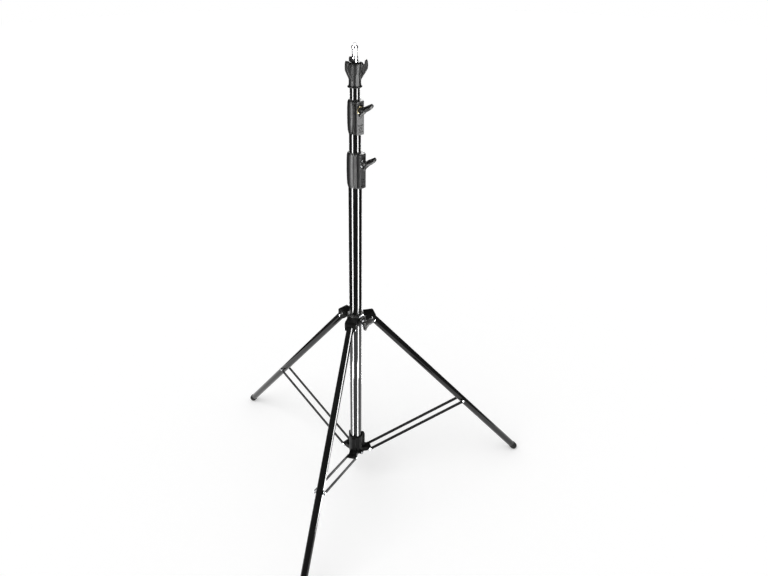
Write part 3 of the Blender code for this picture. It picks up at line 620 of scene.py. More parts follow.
class Graph:
    """The node tree of one material or world."""

    def __init__(self, tree: bpy.types.NodeTree) -> None:
        """Empty a tree, to fill it."""
        self.tree = tree
        tree.nodes.clear()

    def node(self, kind: str, settings: Dict[str, object],
             inputs: Inputs, output: Union[int, str] = 0) -> Value:
        """Add one node.

        Args:
            kind: the node's type.
            settings: its properties, set before its sockets.
            inputs: values or links by socket.
            output: the socket to give back.

        Returns:
            The wrapped output.
        """
        made = self.tree.nodes.new(kind)
        for name, setting in settings.items():
            setattr(made, name, setting)
        for name, given in inputs.items():
            if isinstance(given, Value):
                self.tree.links.new(given.socket, made.inputs[name])
            else:
                made.inputs[name].default_value = given
        return Value(self, made.outputs[output]) if made.outputs else Value(self, None)

    def noise(self, vector: Value, scale: float, detail: float = 2.0) -> Value:
        """Soft noise from 0 to 1, with its waves for each metre and its finer layers."""
        return self.node("ShaderNodeTexNoise", {}, {
            "Vector": vector, "Scale": scale, "Detail": detail}, "Fac")

    def stretched(self, vector: Value, scale: Tuple[float, float, float]) -> Value:
        """A vector scaled along its axes."""
        return self.node("ShaderNodeMapping", {}, {"Vector": vector, "Scale": scale})

    def mix(self, share: Number, first: object, second: object) -> Value:
        """Blend two colours.

        Args:
            share: how much of the second.
            first: colour or link.
            second: colour or link.

        Returns:
            The blend.
        """
        made = self.tree.nodes.new("ShaderNodeMix")
        made.data_type = "RGBA"
        pairs = ((made.inputs["Factor"], share), (made.inputs[6], first), (made.inputs[7], second))
        for socket, given in pairs:
            if isinstance(given, Value):
                self.tree.links.new(given.socket, socket)
            else:
                socket.default_value = given
        return Value(self, made.outputs[2])

    def seen(self) -> Value:
        """1 for the camera's rays and for those in gloss and glass, 0 for the rest.

        Returns:
            The sum of the three kinds of ray, of which one at most is 1.
        """
        kinds = ("Is Camera Ray", "Is Glossy Ray", "Is Transmission Ray")
        camera, glossy, glass = (self.node("ShaderNodeLightPath", {}, {}, kind) for kind in kinds)
        return camera + glossy + glass

    def shown(self, shader: Value, kind: str = "ShaderNodeOutputMaterial") -> None:
        """Lead a shader to the output of a material, or of the kind that is given."""
        self.node(kind, {}, {"Surface": shader})

    def bump(self, height: Value, depth: float) -> Value:
        """A normal bent by a height, where a height of 1 measures the depth."""
        return self.node("ShaderNodeBump", {}, {
            "Height": height, "Distance": depth, "Strength": 1.0})


def new_material(name: str) -> Tuple[bpy.types.Material, Graph]:
    """Add an empty material.

    Args:
        name: its name.

    Returns:
        The material and its graph.
    """
    made = bpy.data.materials.new(name)
    made.use_nodes = True
    return made, Graph(made.node_tree)


class Coordinates(Enum):
    """Where a finish reads its pattern."""

    LOCAL_ATTRIBUTE = "attribute"
    OBJECT = "object"


def grey(level: float) -> Tuple[float, float, float, float]:
    """An opaque grey."""
    return (level, level, level, 1.0)


@dataclass(frozen=True)
class Finish:
    """A surface finish: what the record's slot is called and how its shader is filled."""

    slot: str

    def fill(self, graph: Graph, at: Value) -> Inputs:
        """The shader's sockets: values or links by name, from the pattern's coordinates in metres."""
        raise NotImplementedError

    def material(self, coordinates: Coordinates) -> bpy.types.Material:
        """The finish as a material, made once for each kind of coordinates.

        Args:
            coordinates: where its pattern is read.

        Returns:
            The material.
        """
        name = f"{self.slot}_{coordinates.value}"
        found = bpy.data.materials.get(name)
        if found:
            return found
        made, graph = new_material(name)
        if coordinates is Coordinates.OBJECT:
            at = graph.node("ShaderNodeTexCoord", {}, {}, "Object")
        else:
            at = graph.node("ShaderNodeAttribute", {"attribute_name": LOCAL}, {}, "Vector")
        graph.shown(graph.node("ShaderNodeBsdfPrincipled", {}, self.fill(graph, at)))
        return made


@dataclass(frozen=True)
class TubeCoat(Finish):
    """Gloss black coat on drawn tube, with faint marks drawn along the tube and a little dust."""

    slot: str = "gloss_black_tube"
    depth: float = 0.008
    haze: float = 0.012
    roughness: float = 0.06

    def fill(self, graph: Graph, at: Value) -> Inputs:
        """Black with drawn marks in colour and gloss.

        Args:
            graph: the material's nodes.
            at: the coordinates of the pattern.

        Returns:
            The shader's sockets.
        """
        marks = graph.noise(graph.stretched(at, (900.0, 900.0, 14.0)), scale=1.0, detail=3.0)
        cloud = graph.noise(at, scale=18.0, detail=4.0)
        streak = marks.above(level=0.62, width=0.22)
        return {
            "Base Color": graph.mix(cloud.above(level=0.55, width=0.3), grey(self.depth),
                                    grey(self.haze)),
            "Roughness": self.roughness + streak * 0.03 + cloud * 0.03,
            "Normal": graph.bump(marks, depth=0.0003 * MM),
        }


@dataclass(frozen=True)
class CastingPaint(Finish):
    """Satin black powder coat on a casting: fine orange peel, worn a little paler in places."""

    slot: str = "satin_black_casting"
    depth: float = 0.006
    worn: float = 0.017
    roughness: float = 0.38

    def fill(self, graph: Graph, at: Value) -> Inputs:
        """Dark grey with fine grain in height and gloss.

        Args:
            graph: the material's nodes.
            at: the coordinates of the pattern.

        Returns:
            The shader's sockets.
        """
        peel = graph.noise(at, scale=1500.0, detail=2.0)
        grain = graph.noise(at, scale=4200.0, detail=1.0)
        cloud = graph.noise(at, scale=60.0, detail=5.0)
        rubbed = cloud.above(level=0.60, width=0.18)
        return {
            "Base Color": graph.mix(rubbed, grey(self.depth), grey(self.worn)),
            "Roughness": self.roughness + peel * 0.08 - rubbed * 0.05,
            "Specular IOR Level": 0.23,
            "Normal": graph.bump(peel * 0.7 + grain * 0.3, depth=0.03 * MM),
        }


@dataclass(frozen=True)
class StrapPaint(Finish):
    """Satin black paint on pressed strap, with scuffs along its length."""

    slot: str = "satin_black_strap"
    depth: float = 0.006
    scuffed: float = 0.030
    roughness: float = 0.32

    def fill(self, graph: Graph, at: Value) -> Inputs:
        """Black with scuffs that are paler and rougher.

        Args:
            graph: the material's nodes.
            at: the coordinates of the pattern.

        Returns:
            The shader's sockets.
        """
        marks = graph.noise(graph.stretched(at, (700.0, 700.0, 25.0)), scale=1.0, detail=3.0)
        scuffs = marks.above(level=0.66, width=0.16)
        peel = graph.noise(at, scale=1300.0, detail=2.0)
        return {
            "Base Color": graph.mix(scuffs, grey(self.depth), grey(self.scuffed)),
            "Roughness": self.roughness + scuffs * 0.16 + peel * 0.06,
            "Specular IOR Level": 0.22,
            "Normal": graph.bump(peel, depth=0.02 * MM),
        }


@dataclass(frozen=True)
class Nylon(Finish):
    """Moulded black nylon with a fine matt grain."""

    slot: str = "grey_nylon"
    depth: float = 0.018
    pale: float = 0.035
    roughness: float = 0.42

    def fill(self, graph: Graph, at: Value) -> Inputs:
        """Near black with grain.

        Args:
            graph: the material's nodes.
            at: the coordinates of the pattern.

        Returns:
            The shader's sockets.
        """
        grain = graph.noise(at, scale=2400.0, detail=3.0)
        return {
            "Base Color": graph.mix(grain, grey(self.depth), grey(self.pale)),
            "Roughness": self.roughness + grain * 0.15,
            "Normal": graph.bump(grain, depth=0.02 * MM),
        }


@dataclass(frozen=True)
class Rubber(Finish):
    """Moulded black rubber, with dusty patches."""

    slot: str = "black_rubber"
    depth: float = 0.016
    dusty: float = 0.05
    roughness: float = 0.62

    def fill(self, graph: Graph, at: Value) -> Inputs:
        """Matt black with dust.

        Args:
            graph: the material's nodes.
            at: the coordinates of the pattern.

        Returns:
            The shader's sockets.
        """
        grain = graph.noise(at, scale=1800.0, detail=4.0)
        dust = graph.noise(at, scale=90.0, detail=4.0).above(level=0.58, width=0.25)
        return {
            "Base Color": graph.mix(dust, grey(self.depth), grey(self.dusty)),
            "Roughness": self.roughness + grain * 0.2,
            "Normal": graph.bump(grain, depth=0.06 * MM),
        }


@dataclass(frozen=True)
class Plating(Finish):
    """Bright metal with turning marks round its axis and soft stains."""

    slot: str = "chrome"
    bright: Tuple[float, float, float] = (0.86, 0.87, 0.88)
    dull: Tuple[float, float, float] = (0.70, 0.71, 0.73)
    roughness: float = 0.12
    marks: float = 2600.0

    def fill(self, graph: Graph, at: Value) -> Inputs:
        """Metal whose marks run round Z.

        Args:
            graph: the material's nodes.
            at: the coordinates of the pattern.

        Returns:
            The shader's sockets.
        """
        rings = graph.noise(graph.stretched(at, (6.0, 6.0, self.marks)), scale=1.0, detail=2.0)
        stain = graph.noise(at, scale=140.0, detail=4.0)
        return {
            "Base Color": graph.mix(stain.above(level=0.6, width=0.3), (*self.bright, 1.0),
                                    (*self.dull, 1.0)),
            "Metallic": 1.0,
            "Roughness": self.roughness + rings * 0.05 + stain * 0.04,
            "Normal": graph.bump(rings, depth=0.003 * MM),
        }


TUBE_COAT = TubeCoat()
CASTING_PAINT = CastingPaint()
STRAP_PAINT = StrapPaint()
NYLON = Nylon()
RUBBER = Rubber()
CHROME = Plating()
ZINC = Plating("zinc_plated_steel", (0.66, 0.67, 0.69), (0.50, 0.51, 0.52), 0.26, 1800.0)
BRASS = Plating("brass", (0.86, 0.74, 0.45), (0.66, 0.52, 0.27), 0.24, 2000.0)


# Pieces

def body_of(node: str) -> str:
    """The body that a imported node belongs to."""
    bodies = frame["record"]["behaviour"]["bodies"]
    return next(body for body, nodes in bodies.items() if node in nodes)


def dress(node: str, surface: Surface, place: Matrix, finish: Finish,
          smooth_angle: float = 32.0) -> bpy.types.Object:
    """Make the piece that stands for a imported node.

    Args:
        node: the node that it replaces and whose body it rides on.
        surface: its surface in the local frame.
        place: the local frame.
        finish: its finish.
        smooth_angle: edges sharper than this stay sharp, in degrees, on a surface that has no
            normals of its own.

    Returns:
        The piece.
    """
    matrix = np.array(place)
    points = surface.points @ matrix[:3, :3].T + matrix[:3, 3]
    mesh = bpy.data.meshes.new(f"dressed_{node}")
    mesh.from_pydata(points.tolist(), [], surface.quads.tolist())
    own = mesh.attributes.new(LOCAL, "FLOAT_VECTOR", "POINT")
    own.data.foreach_set("vector", surface.points.astype(np.float32).ravel())
    if surface.normals is None:
        weld(mesh)
        mesh.shade_smooth()
        mesh.set_sharp_from_angle(angle=math.radians(smooth_angle))
    else:
        mesh.shade_smooth()
        mesh.normals_split_custom_set_from_vertices(surface.normals @ matrix[:3, :3].T)
    mesh.materials.append(finish.material(Coordinates.LOCAL_ATTRIBUTE))
    made = bpy.data.objects.new(f"dressed_{node}", mesh)
    bpy.context.scene.collection.objects.link(made)
    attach(made, body_of(node))
    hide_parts(node)
    LOG.info("%s: %d quads, %s", made.name, len(mesh.polygons), finish.slot)
    return made


def weld(mesh: bpy.types.Mesh) -> None:
    """Merge the points that meet on an axis, so that poles are closed.

    Args:
        mesh: what to weld.
    """
    bm = bmesh.new()
    bm.from_mesh(mesh)
    bmesh.ops.remove_doubles(bm, verts=bm.verts, dist=WELD_REACH)
    bm.to_mesh(mesh)
    bm.free()


def paint_node(node: str, finish: Finish) -> None:
    """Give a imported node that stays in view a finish.

    Args:
        node: the node's name.
        finish: its finish.
    """
    kept = frame["nodes"][node]
    kept.data.materials.clear()
    kept.data.materials.append(finish.material(Coordinates.OBJECT))
    LOG.info("%s keeps its solid, %s", node, finish.slot)


# Column

@dataclass(frozen=True)
class Tube:
    """A round tube with softly broken rims, along local Z from 0."""

    radius: float
    wall: float
    length: float
    rim: float = 0.35 * MM

    def surface(self) -> Surface:
        """The outline inner wall, outer wall, turned about Z.

        Returns:
            The tube.
        """
        inner, outer = self.radius - self.wall, self.radius
        outline = [(inner, 0.0), (outer, 0.0), (outer, self.length), (inner, self.length)]
        return turned(rounded(outline, self.rim))


@dataclass(frozen=True)
class ColumnTubes:
    """The three sections of the column."""

    wall: float = 1.5 * MM
    radii: Named = (
        ("base_tube", BASE_RADIUS), ("middle_tube", MIDDLE_RADIUS), ("top_tube", TOP_RADIUS))

    def build(self) -> None:
        """Make and dress each section at its node's place."""
        for node, radius in self.radii:
            low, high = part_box(node)
            tube = Tube(radius, self.wall, high.z - low.z)
            dress(node, tube.surface(), on_column(height=low.z), TUBE_COAT)


@dataclass(frozen=True)
class Screw:
    """A round-headed screw with a hexagon socket, along local Z with its head up."""

    head_radius: float
    head_height: float
    shank_radius: float
    length: float
    socket: float
    step: float = 0.3 * MM

    def surface(self) -> Surface:
        """Head and shank with a six-sided pocket: max over three directions of |p . n| < socket.

        Returns:
            The screw.
        """
        head = bar(self.head_radius, -self.head_height, 0.0, edge=0.5 * MM)
        shank = bar(self.shank_radius, -self.length, -self.head_height / 2.0, edge=0.3 * MM)
        angles = np.radians((0.0, 60.0, 120.0))
        sides = np.stack((np.cos(angles), np.sin(angles)))
        depth = self.head_height * 0.8

        def pocket(p: np.ndarray) -> np.ndarray:
            """Distance to the six-sided pocket."""
            across = np.max(np.abs(p[..., :2] @ sides), axis=-1) - self.socket
            return np.maximum(across, -p[..., 2] - depth)

        solid = head.joined(shank, blend=0.3 * MM).without(Solid(pocket), blend=0.3 * MM)
        wide = (-self.head_radius, self.head_radius)
        return net(solid, even_grid(self.step, wide, wide, (-self.length, 0.0)))


@dataclass(frozen=True)
class Collar:
    """A clamping collar: a barrel with a clamp block on one side, bored for two tubes."""

    node: str
    azimuth: float
    shell: float
    lower: float
    upper: float
    tube_end: float
    reach: float
    half_width: float
    face_half: float
    knob_height: float
    step: float = 0.75 * MM
    recess_height: float = 17.0 * MM
    recess_radius: float = 4.0 * MM
    recess_depth: float = 2.6 * MM
    small_bore: float = 2.3 * MM
    slot_heights: Tuple[float, float] = (8.65 * MM, -7.85 * MM)

    def span(self) -> Tuple[float, float]:
        """The node's lowest and highest height."""
        low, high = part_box(self.node)
        return low.z, high.z

    def barrel(self) -> Solid:
        """The barrel: an outline that swells by 3 mm towards its middle, turned about Z.

        Returns:
            The barrel.
        """
        bottom, top = self.span()
        tall = top - bottom
        outline = [
            (0.0, bottom), (self.lower + 1.2 * MM, bottom),
            (self.shell - 2.8 * MM, bottom + 2.2 * MM),
            (self.shell - 1.2 * MM, bottom + 9.0 * MM), (self.shell - 0.3 * MM, bottom + 0.28 * tall),
            (self.shell, bottom + 0.50 * tall), (self.shell - 0.2 * MM, bottom + 0.75 * tall),
            (self.shell - 1.0 * MM, top - 6.5 * MM), (self.shell - 3.0 * MM, top - 1.8 * MM),
            (self.upper + 1.0 * MM, top), (0.0, top),
        ]
        return lathe_solid(rounded(outline, radius=2.0 * MM))

    def clamp(self) -> Solid:
        """The block: wide beside the barrel, with a ledge and a narrower face for the knob.

        Returns:
            The block.
        """
        bottom, top = self.span()
        ledge_x = self.shell - 1.6 * MM
        half = [(0.0, self.half_width), (ledge_x, self.half_width), (ledge_x, self.face_half),
                (self.reach, self.face_half)]
        outline = [(u, -v) for u, v in half] + list(reversed(half))
        return plate(rounded(outline, radius=1.6 * MM), bottom + 1.2 * MM, top - 0.8 * MM,
                     edge=1.4 * MM, plane=Plane.XY)

    def grooves(self) -> Solid:
        """Upright grooves where the block meets the barrel and where the face meets the ledge.

        Returns:
            The grooves of one side, mirrored in the XZ plane.
        """
        bottom, top = self.span()
        groove = bar(1.0 * MM, bottom + 2.5 * MM, top - 2.5 * MM, edge=0.5 * MM)
        side = shift(self.shell - 3.2 * MM, self.half_width + 0.5 * MM, 0.0)
        ledge = shift(self.shell - 1.4 * MM, self.face_half + 0.8 * MM, 0.0)
        pair = groove.placed(side).joined(groove.placed(ledge))
        return Solid(lambda p: pair.distance(p * MIRROR_Y + (1.0 - MIRROR_Y) * np.abs(p)))

    def openings(self) -> Solid:
        """The tube bores, the knob's screw hole, and the screw recess with its two slots.

        Returns:
            All that is cut away.
        """
        bottom, top = self.span()
        past = 5.0 * MM
        end = self.reach + past
        middle = bottom + self.recess_height
        slot = block(half_x=1.6 * MM, half_y=6.0 * MM, half_z=1.15 * MM)
        slots = [slot.placed(shift(z=middle) @ shift(x=self.reach, z=height))
                 for height in self.slot_heights]
        return joined_all([
            bar(self.lower + GAP, bottom - past, self.tube_end + GAP),
            bar(self.lower - GAP, bottom - past, top + past),
            bar(KNOB_BORE, 0.0, end).placed(outward(z=self.knob_height)),
            bar(self.recess_radius, self.reach - self.recess_depth, end).placed(outward(z=middle)),
            bar(self.small_bore, self.lower + 1.7 * MM, end).placed(outward(z=middle)),
        ] + slots)

    def build(self) -> None:
        """Make and dress the casting and its screw."""
        solid = self.barrel().joined(self.clamp(), blend=1.2 * MM)
        solid = solid.without(self.grooves(), blend=0.8 * MM).without(self.openings(), blend=0.7 * MM)
        grid = even_grid(self.step, (-self.shell, self.reach), (-self.shell, self.shell), self.span())
        place = on_column(self.azimuth)
        dress(self.node, net(solid, grid), place, CASTING_PAINT)
        screw = Screw(head_radius=3.6 * MM, head_height=1.6 * MM, shank_radius=1.9 * MM,
                      length=self.reach - self.lower - 3.0 * MM, socket=1.5 * MM)
        head = outward(self.reach - 0.6 * MM, self.span()[0] + self.recess_height)
        dress(f"{self.node}_screw", screw.surface(), place @ head, STRAP_PAINT)


@dataclass(frozen=True)
class LeverKnob:
    """A two-winged lever knob on its screw and washer. Local X is the screw's axis."""

    node: str
    height: float
    azimuth: float
    face: float
    tip: float
    turn: float
    washer_finish: Finish
    screw_radius: float = 3.9 * MM
    washer_radius: float = 10.4 * MM
    washer_thickness: float = 1.6 * MM
    half_wing: float = 4.2 * MM
    step: float = 0.5 * MM

    def base(self) -> float:
        """Where the lever's body starts along the screw."""
        return self.face + 2.0 * GAP + self.washer_thickness

    def outline(self) -> Outline:
        """The wings seen square on: distance along the screw and distance from it.

        Returns:
            The outline of both wings, written in millimetres from the knob's base.
        """
        long_wing = [(15.6, 0.0), (20.4, 5.6), (24.6, 11.6), (26.4, 17.8), (26.0, 22.6), (23.8, 25.8),
                     (20.8, 26.2), (18.5, 23.5), (13.5, 18.4), (8.0, 13.4), (4.0, 7.6), (3.0, 0.0)]
        short_wing = [(3.4, -7.0), (5.6, -11.2), (10.0, -15.6), (13.4, -17.6), (16.0, -17.0),
                      (16.6, -13.8), (15.8, -8.0)]
        return [(self.base() + u * MM, v * MM) for u, v in long_wing + short_wing]

    def grip(self) -> Surface:
        """The knob's body, turned about X, blended into the wings, whose sides are dished.

        Returns:
            The lever.
        """
        base = self.base()
        profile = [(0.0, 0.0), (7.8, 0.0), (8.8, 1.4), (8.6, 7.0), (7.4, 12.0), (5.2, 15.2), (0.0, 16.4)]
        body = lathe_solid(rounded([(r * MM, base + z * MM) for r, z in profile], radius=1.2 * MM))
        outline = rounded(self.outline(), radius=2.2 * MM)
        wings = plate(outline, -self.half_wing, self.half_wing, edge=2.0 * MM, plane=Plane.XY)
        rim, depth, root = 2.6 * MM, 0.9 * MM, 11.0 * MM

        def dish(p: np.ndarray) -> np.ndarray:
            """Distance to the shallow hollows in the wings' flat sides.

            Args:
                p: the points.

            Returns:
                Their distances.
            """
            inner = outline_distance(outline, p[..., 0], p[..., 1]) + rim
            return np.maximum(np.maximum(inner, self.half_wing - depth - np.abs(p[..., 2])),
                              root - np.abs(p[..., 1]))

        bore = bar(self.screw_radius + GAP, base - 5.0 * MM, self.face + 11.3 * MM)
        solid = wings.without(Solid(dish), blend=0.8 * MM).joined(body.placed(outward()), blend=2.6 * MM)
        solid = solid.without(bore.placed(outward()))
        return net(solid, even_grid(self.step, (base, base + 26.6 * MM), (-18.0 * MM, 26.8 * MM),
                                    (-9.4 * MM, 9.4 * MM)))

    def thread(self) -> Outline:
        """The screw's outline: a crest and a root for each turn of its thread.

        Returns:
            The outline, from the screw's tip to its end.
        """
        end, root = self.face + 11.0 * MM, self.screw_radius - 0.45 * MM
        pitch, plain = 1.25 * MM, 1.0 * MM
        turns = int((end - self.tip - 2.0 * plain) / pitch)
        outline = [(0.0, self.tip), (root, self.tip)]
        for k in range(turns):
            start = self.tip + plain + k * pitch
            outline += [(root, start), (self.screw_radius, start + 0.5 * pitch)]
        return outline + [(root, self.tip + plain + turns * pitch), (root, end), (0.0, end)]

    def build(self) -> None:
        """Make and dress the lever, its screw and its washer."""
        place = on_column(self.azimuth, self.height)
        dress(self.node, self.grip(), place @ turn_x(self.turn), CASTING_PAINT)
        screw, screw_place = turned(self.thread(), around=48), place @ outward()
        dress(f"{self.node}_screw", screw, screw_place, ZINC, smooth_angle=20.0)
        hole, rim = self.screw_radius + 0.4 * MM, self.washer_radius
        low = self.face + GAP
        high = low + self.washer_thickness
        washer = rounded([(hole, low), (rim, low), (rim, high), (hole, high)], radius=0.5 * MM)
        dress(f"{self.node}_washer", turned(washer), screw_place, self.washer_finish)


@dataclass(frozen=True)
class Rivet:
    """A pin with a low dome at each end, along local Z about the origin."""

    shank: float
    head: float
    reach: float
    dome: float

    def surface(self) -> Surface:
        """Half an outline, domed as an ellipse, mirrored and turned about Z.

        Returns:
            The rivet.
        """
        upper = [(self.shank, self.reach), (self.head, self.reach)]
        upper += [(self.head * math.cos(a), self.reach + self.dome * math.sin(a))
                  for a in np.linspace(0.15, 0.47 * math.pi, 8)]
        upper += [(0.0, self.reach + self.dome)]
        return turned([(r, -z) for r, z in reversed(upper)] + upper, around=40)


def dress_pins(beginning: str, pin: Rivet, azimuths: Named, pivot: Point2, finish: Finish) -> None:
    """Dress the hinge pins that lie across the three sides.

    Args:
        beginning: how the pins' names begin.
        pin: what each of them is.
        azimuths: the sides' names and where they point.
        pivot: a pin's distance from the column's axis, and its height.
        finish: the pins' finish.
    """
    surface = pin.surface()
    for side, azimuth in azimuths:
        place = on_column(azimuth, pivot[1]) @ lying(pivot[0])
        dress(f"{beginning}_{side}", surface, place, finish)


# Hub

@dataclass(frozen=True)
class Hub:
    """The sliding hub: a ring with three leg lugs and a clamp block."""

    azimuths: Named
    knob_azimuth: float
    knob_height: float
    radius: float = 24.5 * MM
    bore: float = 20.0 * MM
    reach: float = 33.0 * MM
    pivot: float = PIVOT
    lug_half: float = 6.5 * MM
    lug_radius: float = 9.2 * MM
    step: float = 0.6 * MM
    top: float = 622.5 * MM
    bottom: float = 597.0 * MM
    clamp_half: float = 11.5 * MM
    clamp_drop: float = 5.0 * MM
    plate_middle: float = 25.2 * MM
    plate_half: Tuple[float, float] = (9.0 * MM, 1.7 * MM)

    def pin_height(self) -> float:
        """Height of the leg pins."""
        return joint("leg_front_fold")["pos_m"][2]

    def casting(self) -> Surface:
        """Ring, lugs and block, less the bore, the plate's slot and the pin holes.

        Returns:
            The casting.
        """
        ring = lathe_solid(rounded([
            (0.0, self.bottom), (self.radius + 0.8 * MM, self.bottom),
            (self.radius + 1.6 * MM, self.bottom + 0.8 * MM),
            (self.radius + 1.6 * MM, self.bottom + 2.8 * MM), (self.radius, self.bottom + 3.6 * MM),
            (self.radius, self.top - 2.5 * MM), (self.radius - 2.2 * MM, self.top), (0.0, self.top),
        ], radius=0.8 * MM))
        pin = self.pin_height()
        root = 14.0 * MM
        lug = [(root, self.bottom + 1.0 * MM), (self.radius, self.bottom + 1.0 * MM),
               (29.0 * MM, pin - self.lug_radius)]
        lug += arc((self.pivot, pin), self.lug_radius, start=-90.0, end=90.0, steps=16)
        lug += [(root, pin + self.lug_radius)]
        lugs = plate(lug, -self.lug_half, self.lug_half, edge=0.9 * MM, plane=Plane.XZ)
        inner, half, foot = 10.0 * MM, self.clamp_half, self.bottom - self.clamp_drop
        face = [(inner, -half), (self.reach, -half), (self.reach, half), (inner, half)]
        clamp = plate(rounded(face, radius=2.6 * MM), foot, self.top - 0.8 * MM, edge=1.2 * MM,
                      plane=Plane.XY)
        to_knob = turn_z(self.knob_azimuth)
        solid = ring.joined(clamp.placed(to_knob), blend=1.2 * MM)
        first = self.azimuths[0][1]
        solid = solid.joined(lugs.thrice(first), blend=1.6 * MM)
        pins = bar(LEG_PIN_BORE, -15.0 * MM, 15.0 * MM).placed(lying(self.pivot, pin))
        past = 8.0 * MM
        slot = block(half_x=2.0 * MM, half_y=9.3 * MM, half_z=14.5 * MM)
        slot_place = to_knob @ shift(x=self.plate_middle, z=self.bottom + 12.5 * MM)
        screw = bar(KNOB_BORE, 0.0, self.reach + past)
        cuts = joined_all([
            pins.thrice(first), bar(self.bore, self.bottom - past, self.top + past),
            screw.placed(to_knob @ outward(z=self.knob_height)), slot.placed(slot_place)])
        wide = (-self.pivot - self.lug_radius, self.pivot + self.lug_radius)
        return net(solid.without(cuts, blend=0.6 * MM),
                   even_grid(self.step, wide, wide, (foot, self.top)))

    def nut_plate(self) -> Surface:
        """The flat plate that the knob's screw is threaded in, with softened rims.

        Returns:
            The plate, upright in the XZ plane.
        """
        low, high = self.bottom - 1.7 * MM, self.top + 2.2 * MM
        half, thick = self.plate_half
        outline = [(-half, low), (half, low), (half, high), (-half, high)]
        shape = plate(rounded(outline, radius=1.6 * MM), -thick, thick, edge=0.4 * MM, plane=Plane.XZ)
        hole = bar(4.2 * MM, -5.0 * MM, 5.0 * MM).placed(lying(z=self.knob_height))
        grid = even_grid(0.4 * MM, (-half, half), (-thick, thick), (low, high))
        return net(shape.without(hole, blend=0.3 * MM), grid)

    def build(self) -> None:
        """Make and dress the casting, the nut plate and the leg pins."""
        dress("leg_hub", self.casting(), on_column(), CASTING_PAINT)
        plate_place = on_column(self.knob_azimuth) @ shift(x=self.plate_middle) @ turn_z(90.0)
        dress("hub_nut_plate", self.nut_plate(), plate_place, ZINC)
        pin = Rivet(shank=3.0 * MM, head=4.6 * MM, reach=PIN_REACH, dome=1.4 * MM)
        dress_pins("leg_pin", pin, self.azimuths, (self.pivot, self.pin_height()), TUBE_COAT)


# Bottom bracket

@dataclass(frozen=True)
class Bracket:
    """The casting on the column's foot: a sleeve with three gussets and three brace lugs."""

    azimuths: Named
    knob_azimuth: float
    radius: float = 21.2 * MM
    bore: float = 17.8 * MM
    pivot: float = PIVOT
    lug_half: float = 12.4 * MM
    lug_radius: float = 6.2 * MM
    gusset: float = 28.0 * MM
    boss: float = 28.5 * MM
    bottom: float = 107.2 * MM
    top: float = 176.0 * MM
    screw_above: float = 7.2 * MM
    root: float = 14.0 * MM
    step: float = 0.8 * MM

    def pin_height(self) -> float:
        """Height of the brace pins."""
        return joint("brace_front_fold")["pos_m"][2]

    def casting(self) -> Surface:
        """Sleeve, gussets, lugs and screw boss, less the bore and the holes.

        Returns:
            The casting.
        """
        sleeve = lathe_solid(rounded([
            (0.0, self.bottom), (self.radius, self.bottom), (self.radius, self.top - 1.5 * MM),
            (self.radius - 1.4 * MM, self.top), (0.0, self.top)], radius=1.2 * MM))
        pin = self.pin_height()
        lobe, blend = 6.5 * MM, 1.5 * MM
        shoulder = self.top - 4.0 * MM
        gusset = [(self.root, self.bottom + 1.6 * MM), (self.gusset, self.bottom + 1.6 * MM)]
        gusset += arc((self.gusset - lobe, shoulder), lobe, start=0.0, end=90.0)
        gusset += [(self.root, shoulder + lobe)]
        lug = [(self.root, self.bottom + 0.8 * MM), (30.0 * MM, self.bottom + 0.8 * MM)]
        lug += arc((self.pivot, pin), self.lug_radius, start=-90.0, end=90.0, steps=14)
        lug += [(31.0 * MM, pin + 9.5 * MM), (self.root, pin + 9.5 * MM)]
        web = plate(gusset, -5.8 * MM, 5.8 * MM, edge=2.2 * MM, plane=Plane.XZ)
        ear = plate(rounded(lug, radius=1.5 * MM), -self.lug_half, self.lug_half, edge=1.0 * MM,
                    plane=Plane.XZ)
        first = self.azimuths[0][1]
        solid = sleeve.joined(web.joined(ear, blend).thrice(first), blend)
        axle = bar(BRACE_PIN_BORE, -20.0 * MM, 20.0 * MM).placed(lying(self.pivot, pin))
        channel = block(half_x=14.0 * MM, half_y=6.0 * MM, half_z=3.2 * MM)
        cuts = [axle.joined(channel.placed(shift(x=53.0 * MM, z=pin + 8.0 * MM))).thrice(first)]
        to_screw = turn_z(self.knob_azimuth) @ outward(z=self.bottom + self.screw_above)
        start, past = 15.0 * MM, 8.0 * MM
        solid = solid.joined(bar(6.4 * MM, start, self.boss, edge=1.0 * MM).placed(to_screw), blend)
        cuts.append(bar(self.bore, self.bottom - past, self.top + past))
        cuts.append(bar(2.8 * MM, start, self.boss + past).placed(to_screw))
        out = self.pivot + self.lug_radius + 1.0 * MM
        grid = even_grid(self.step, (-out, out), (-out, out), (self.bottom, self.top + 2.5 * MM))
        return net(solid.without(joined_all(cuts), blend=0.7 * MM), grid)

    def build(self) -> None:
        """Make and dress the casting, its screw and the brace pins."""
        dress("bottom_bracket", self.casting(), on_column(), CASTING_PAINT)
        screw = Screw(head_radius=2.4 * MM, head_height=3.0 * MM, shank_radius=2.0 * MM,
                      length=9.5 * MM, socket=1.3 * MM, step=0.22 * MM)
        head = outward(self.boss - 1.0 * MM, self.bottom + self.screw_above)
        dress("bracket_screw", screw.surface(), on_column(self.knob_azimuth) @ head, ZINC)
        pin = Rivet(shank=2.5 * MM, head=4.2 * MM, reach=PIN_REACH, dome=1.4 * MM)
        dress_pins("brace_pin", pin, self.azimuths, (self.pivot, self.pin_height()), ZINC)


# Legs and braces

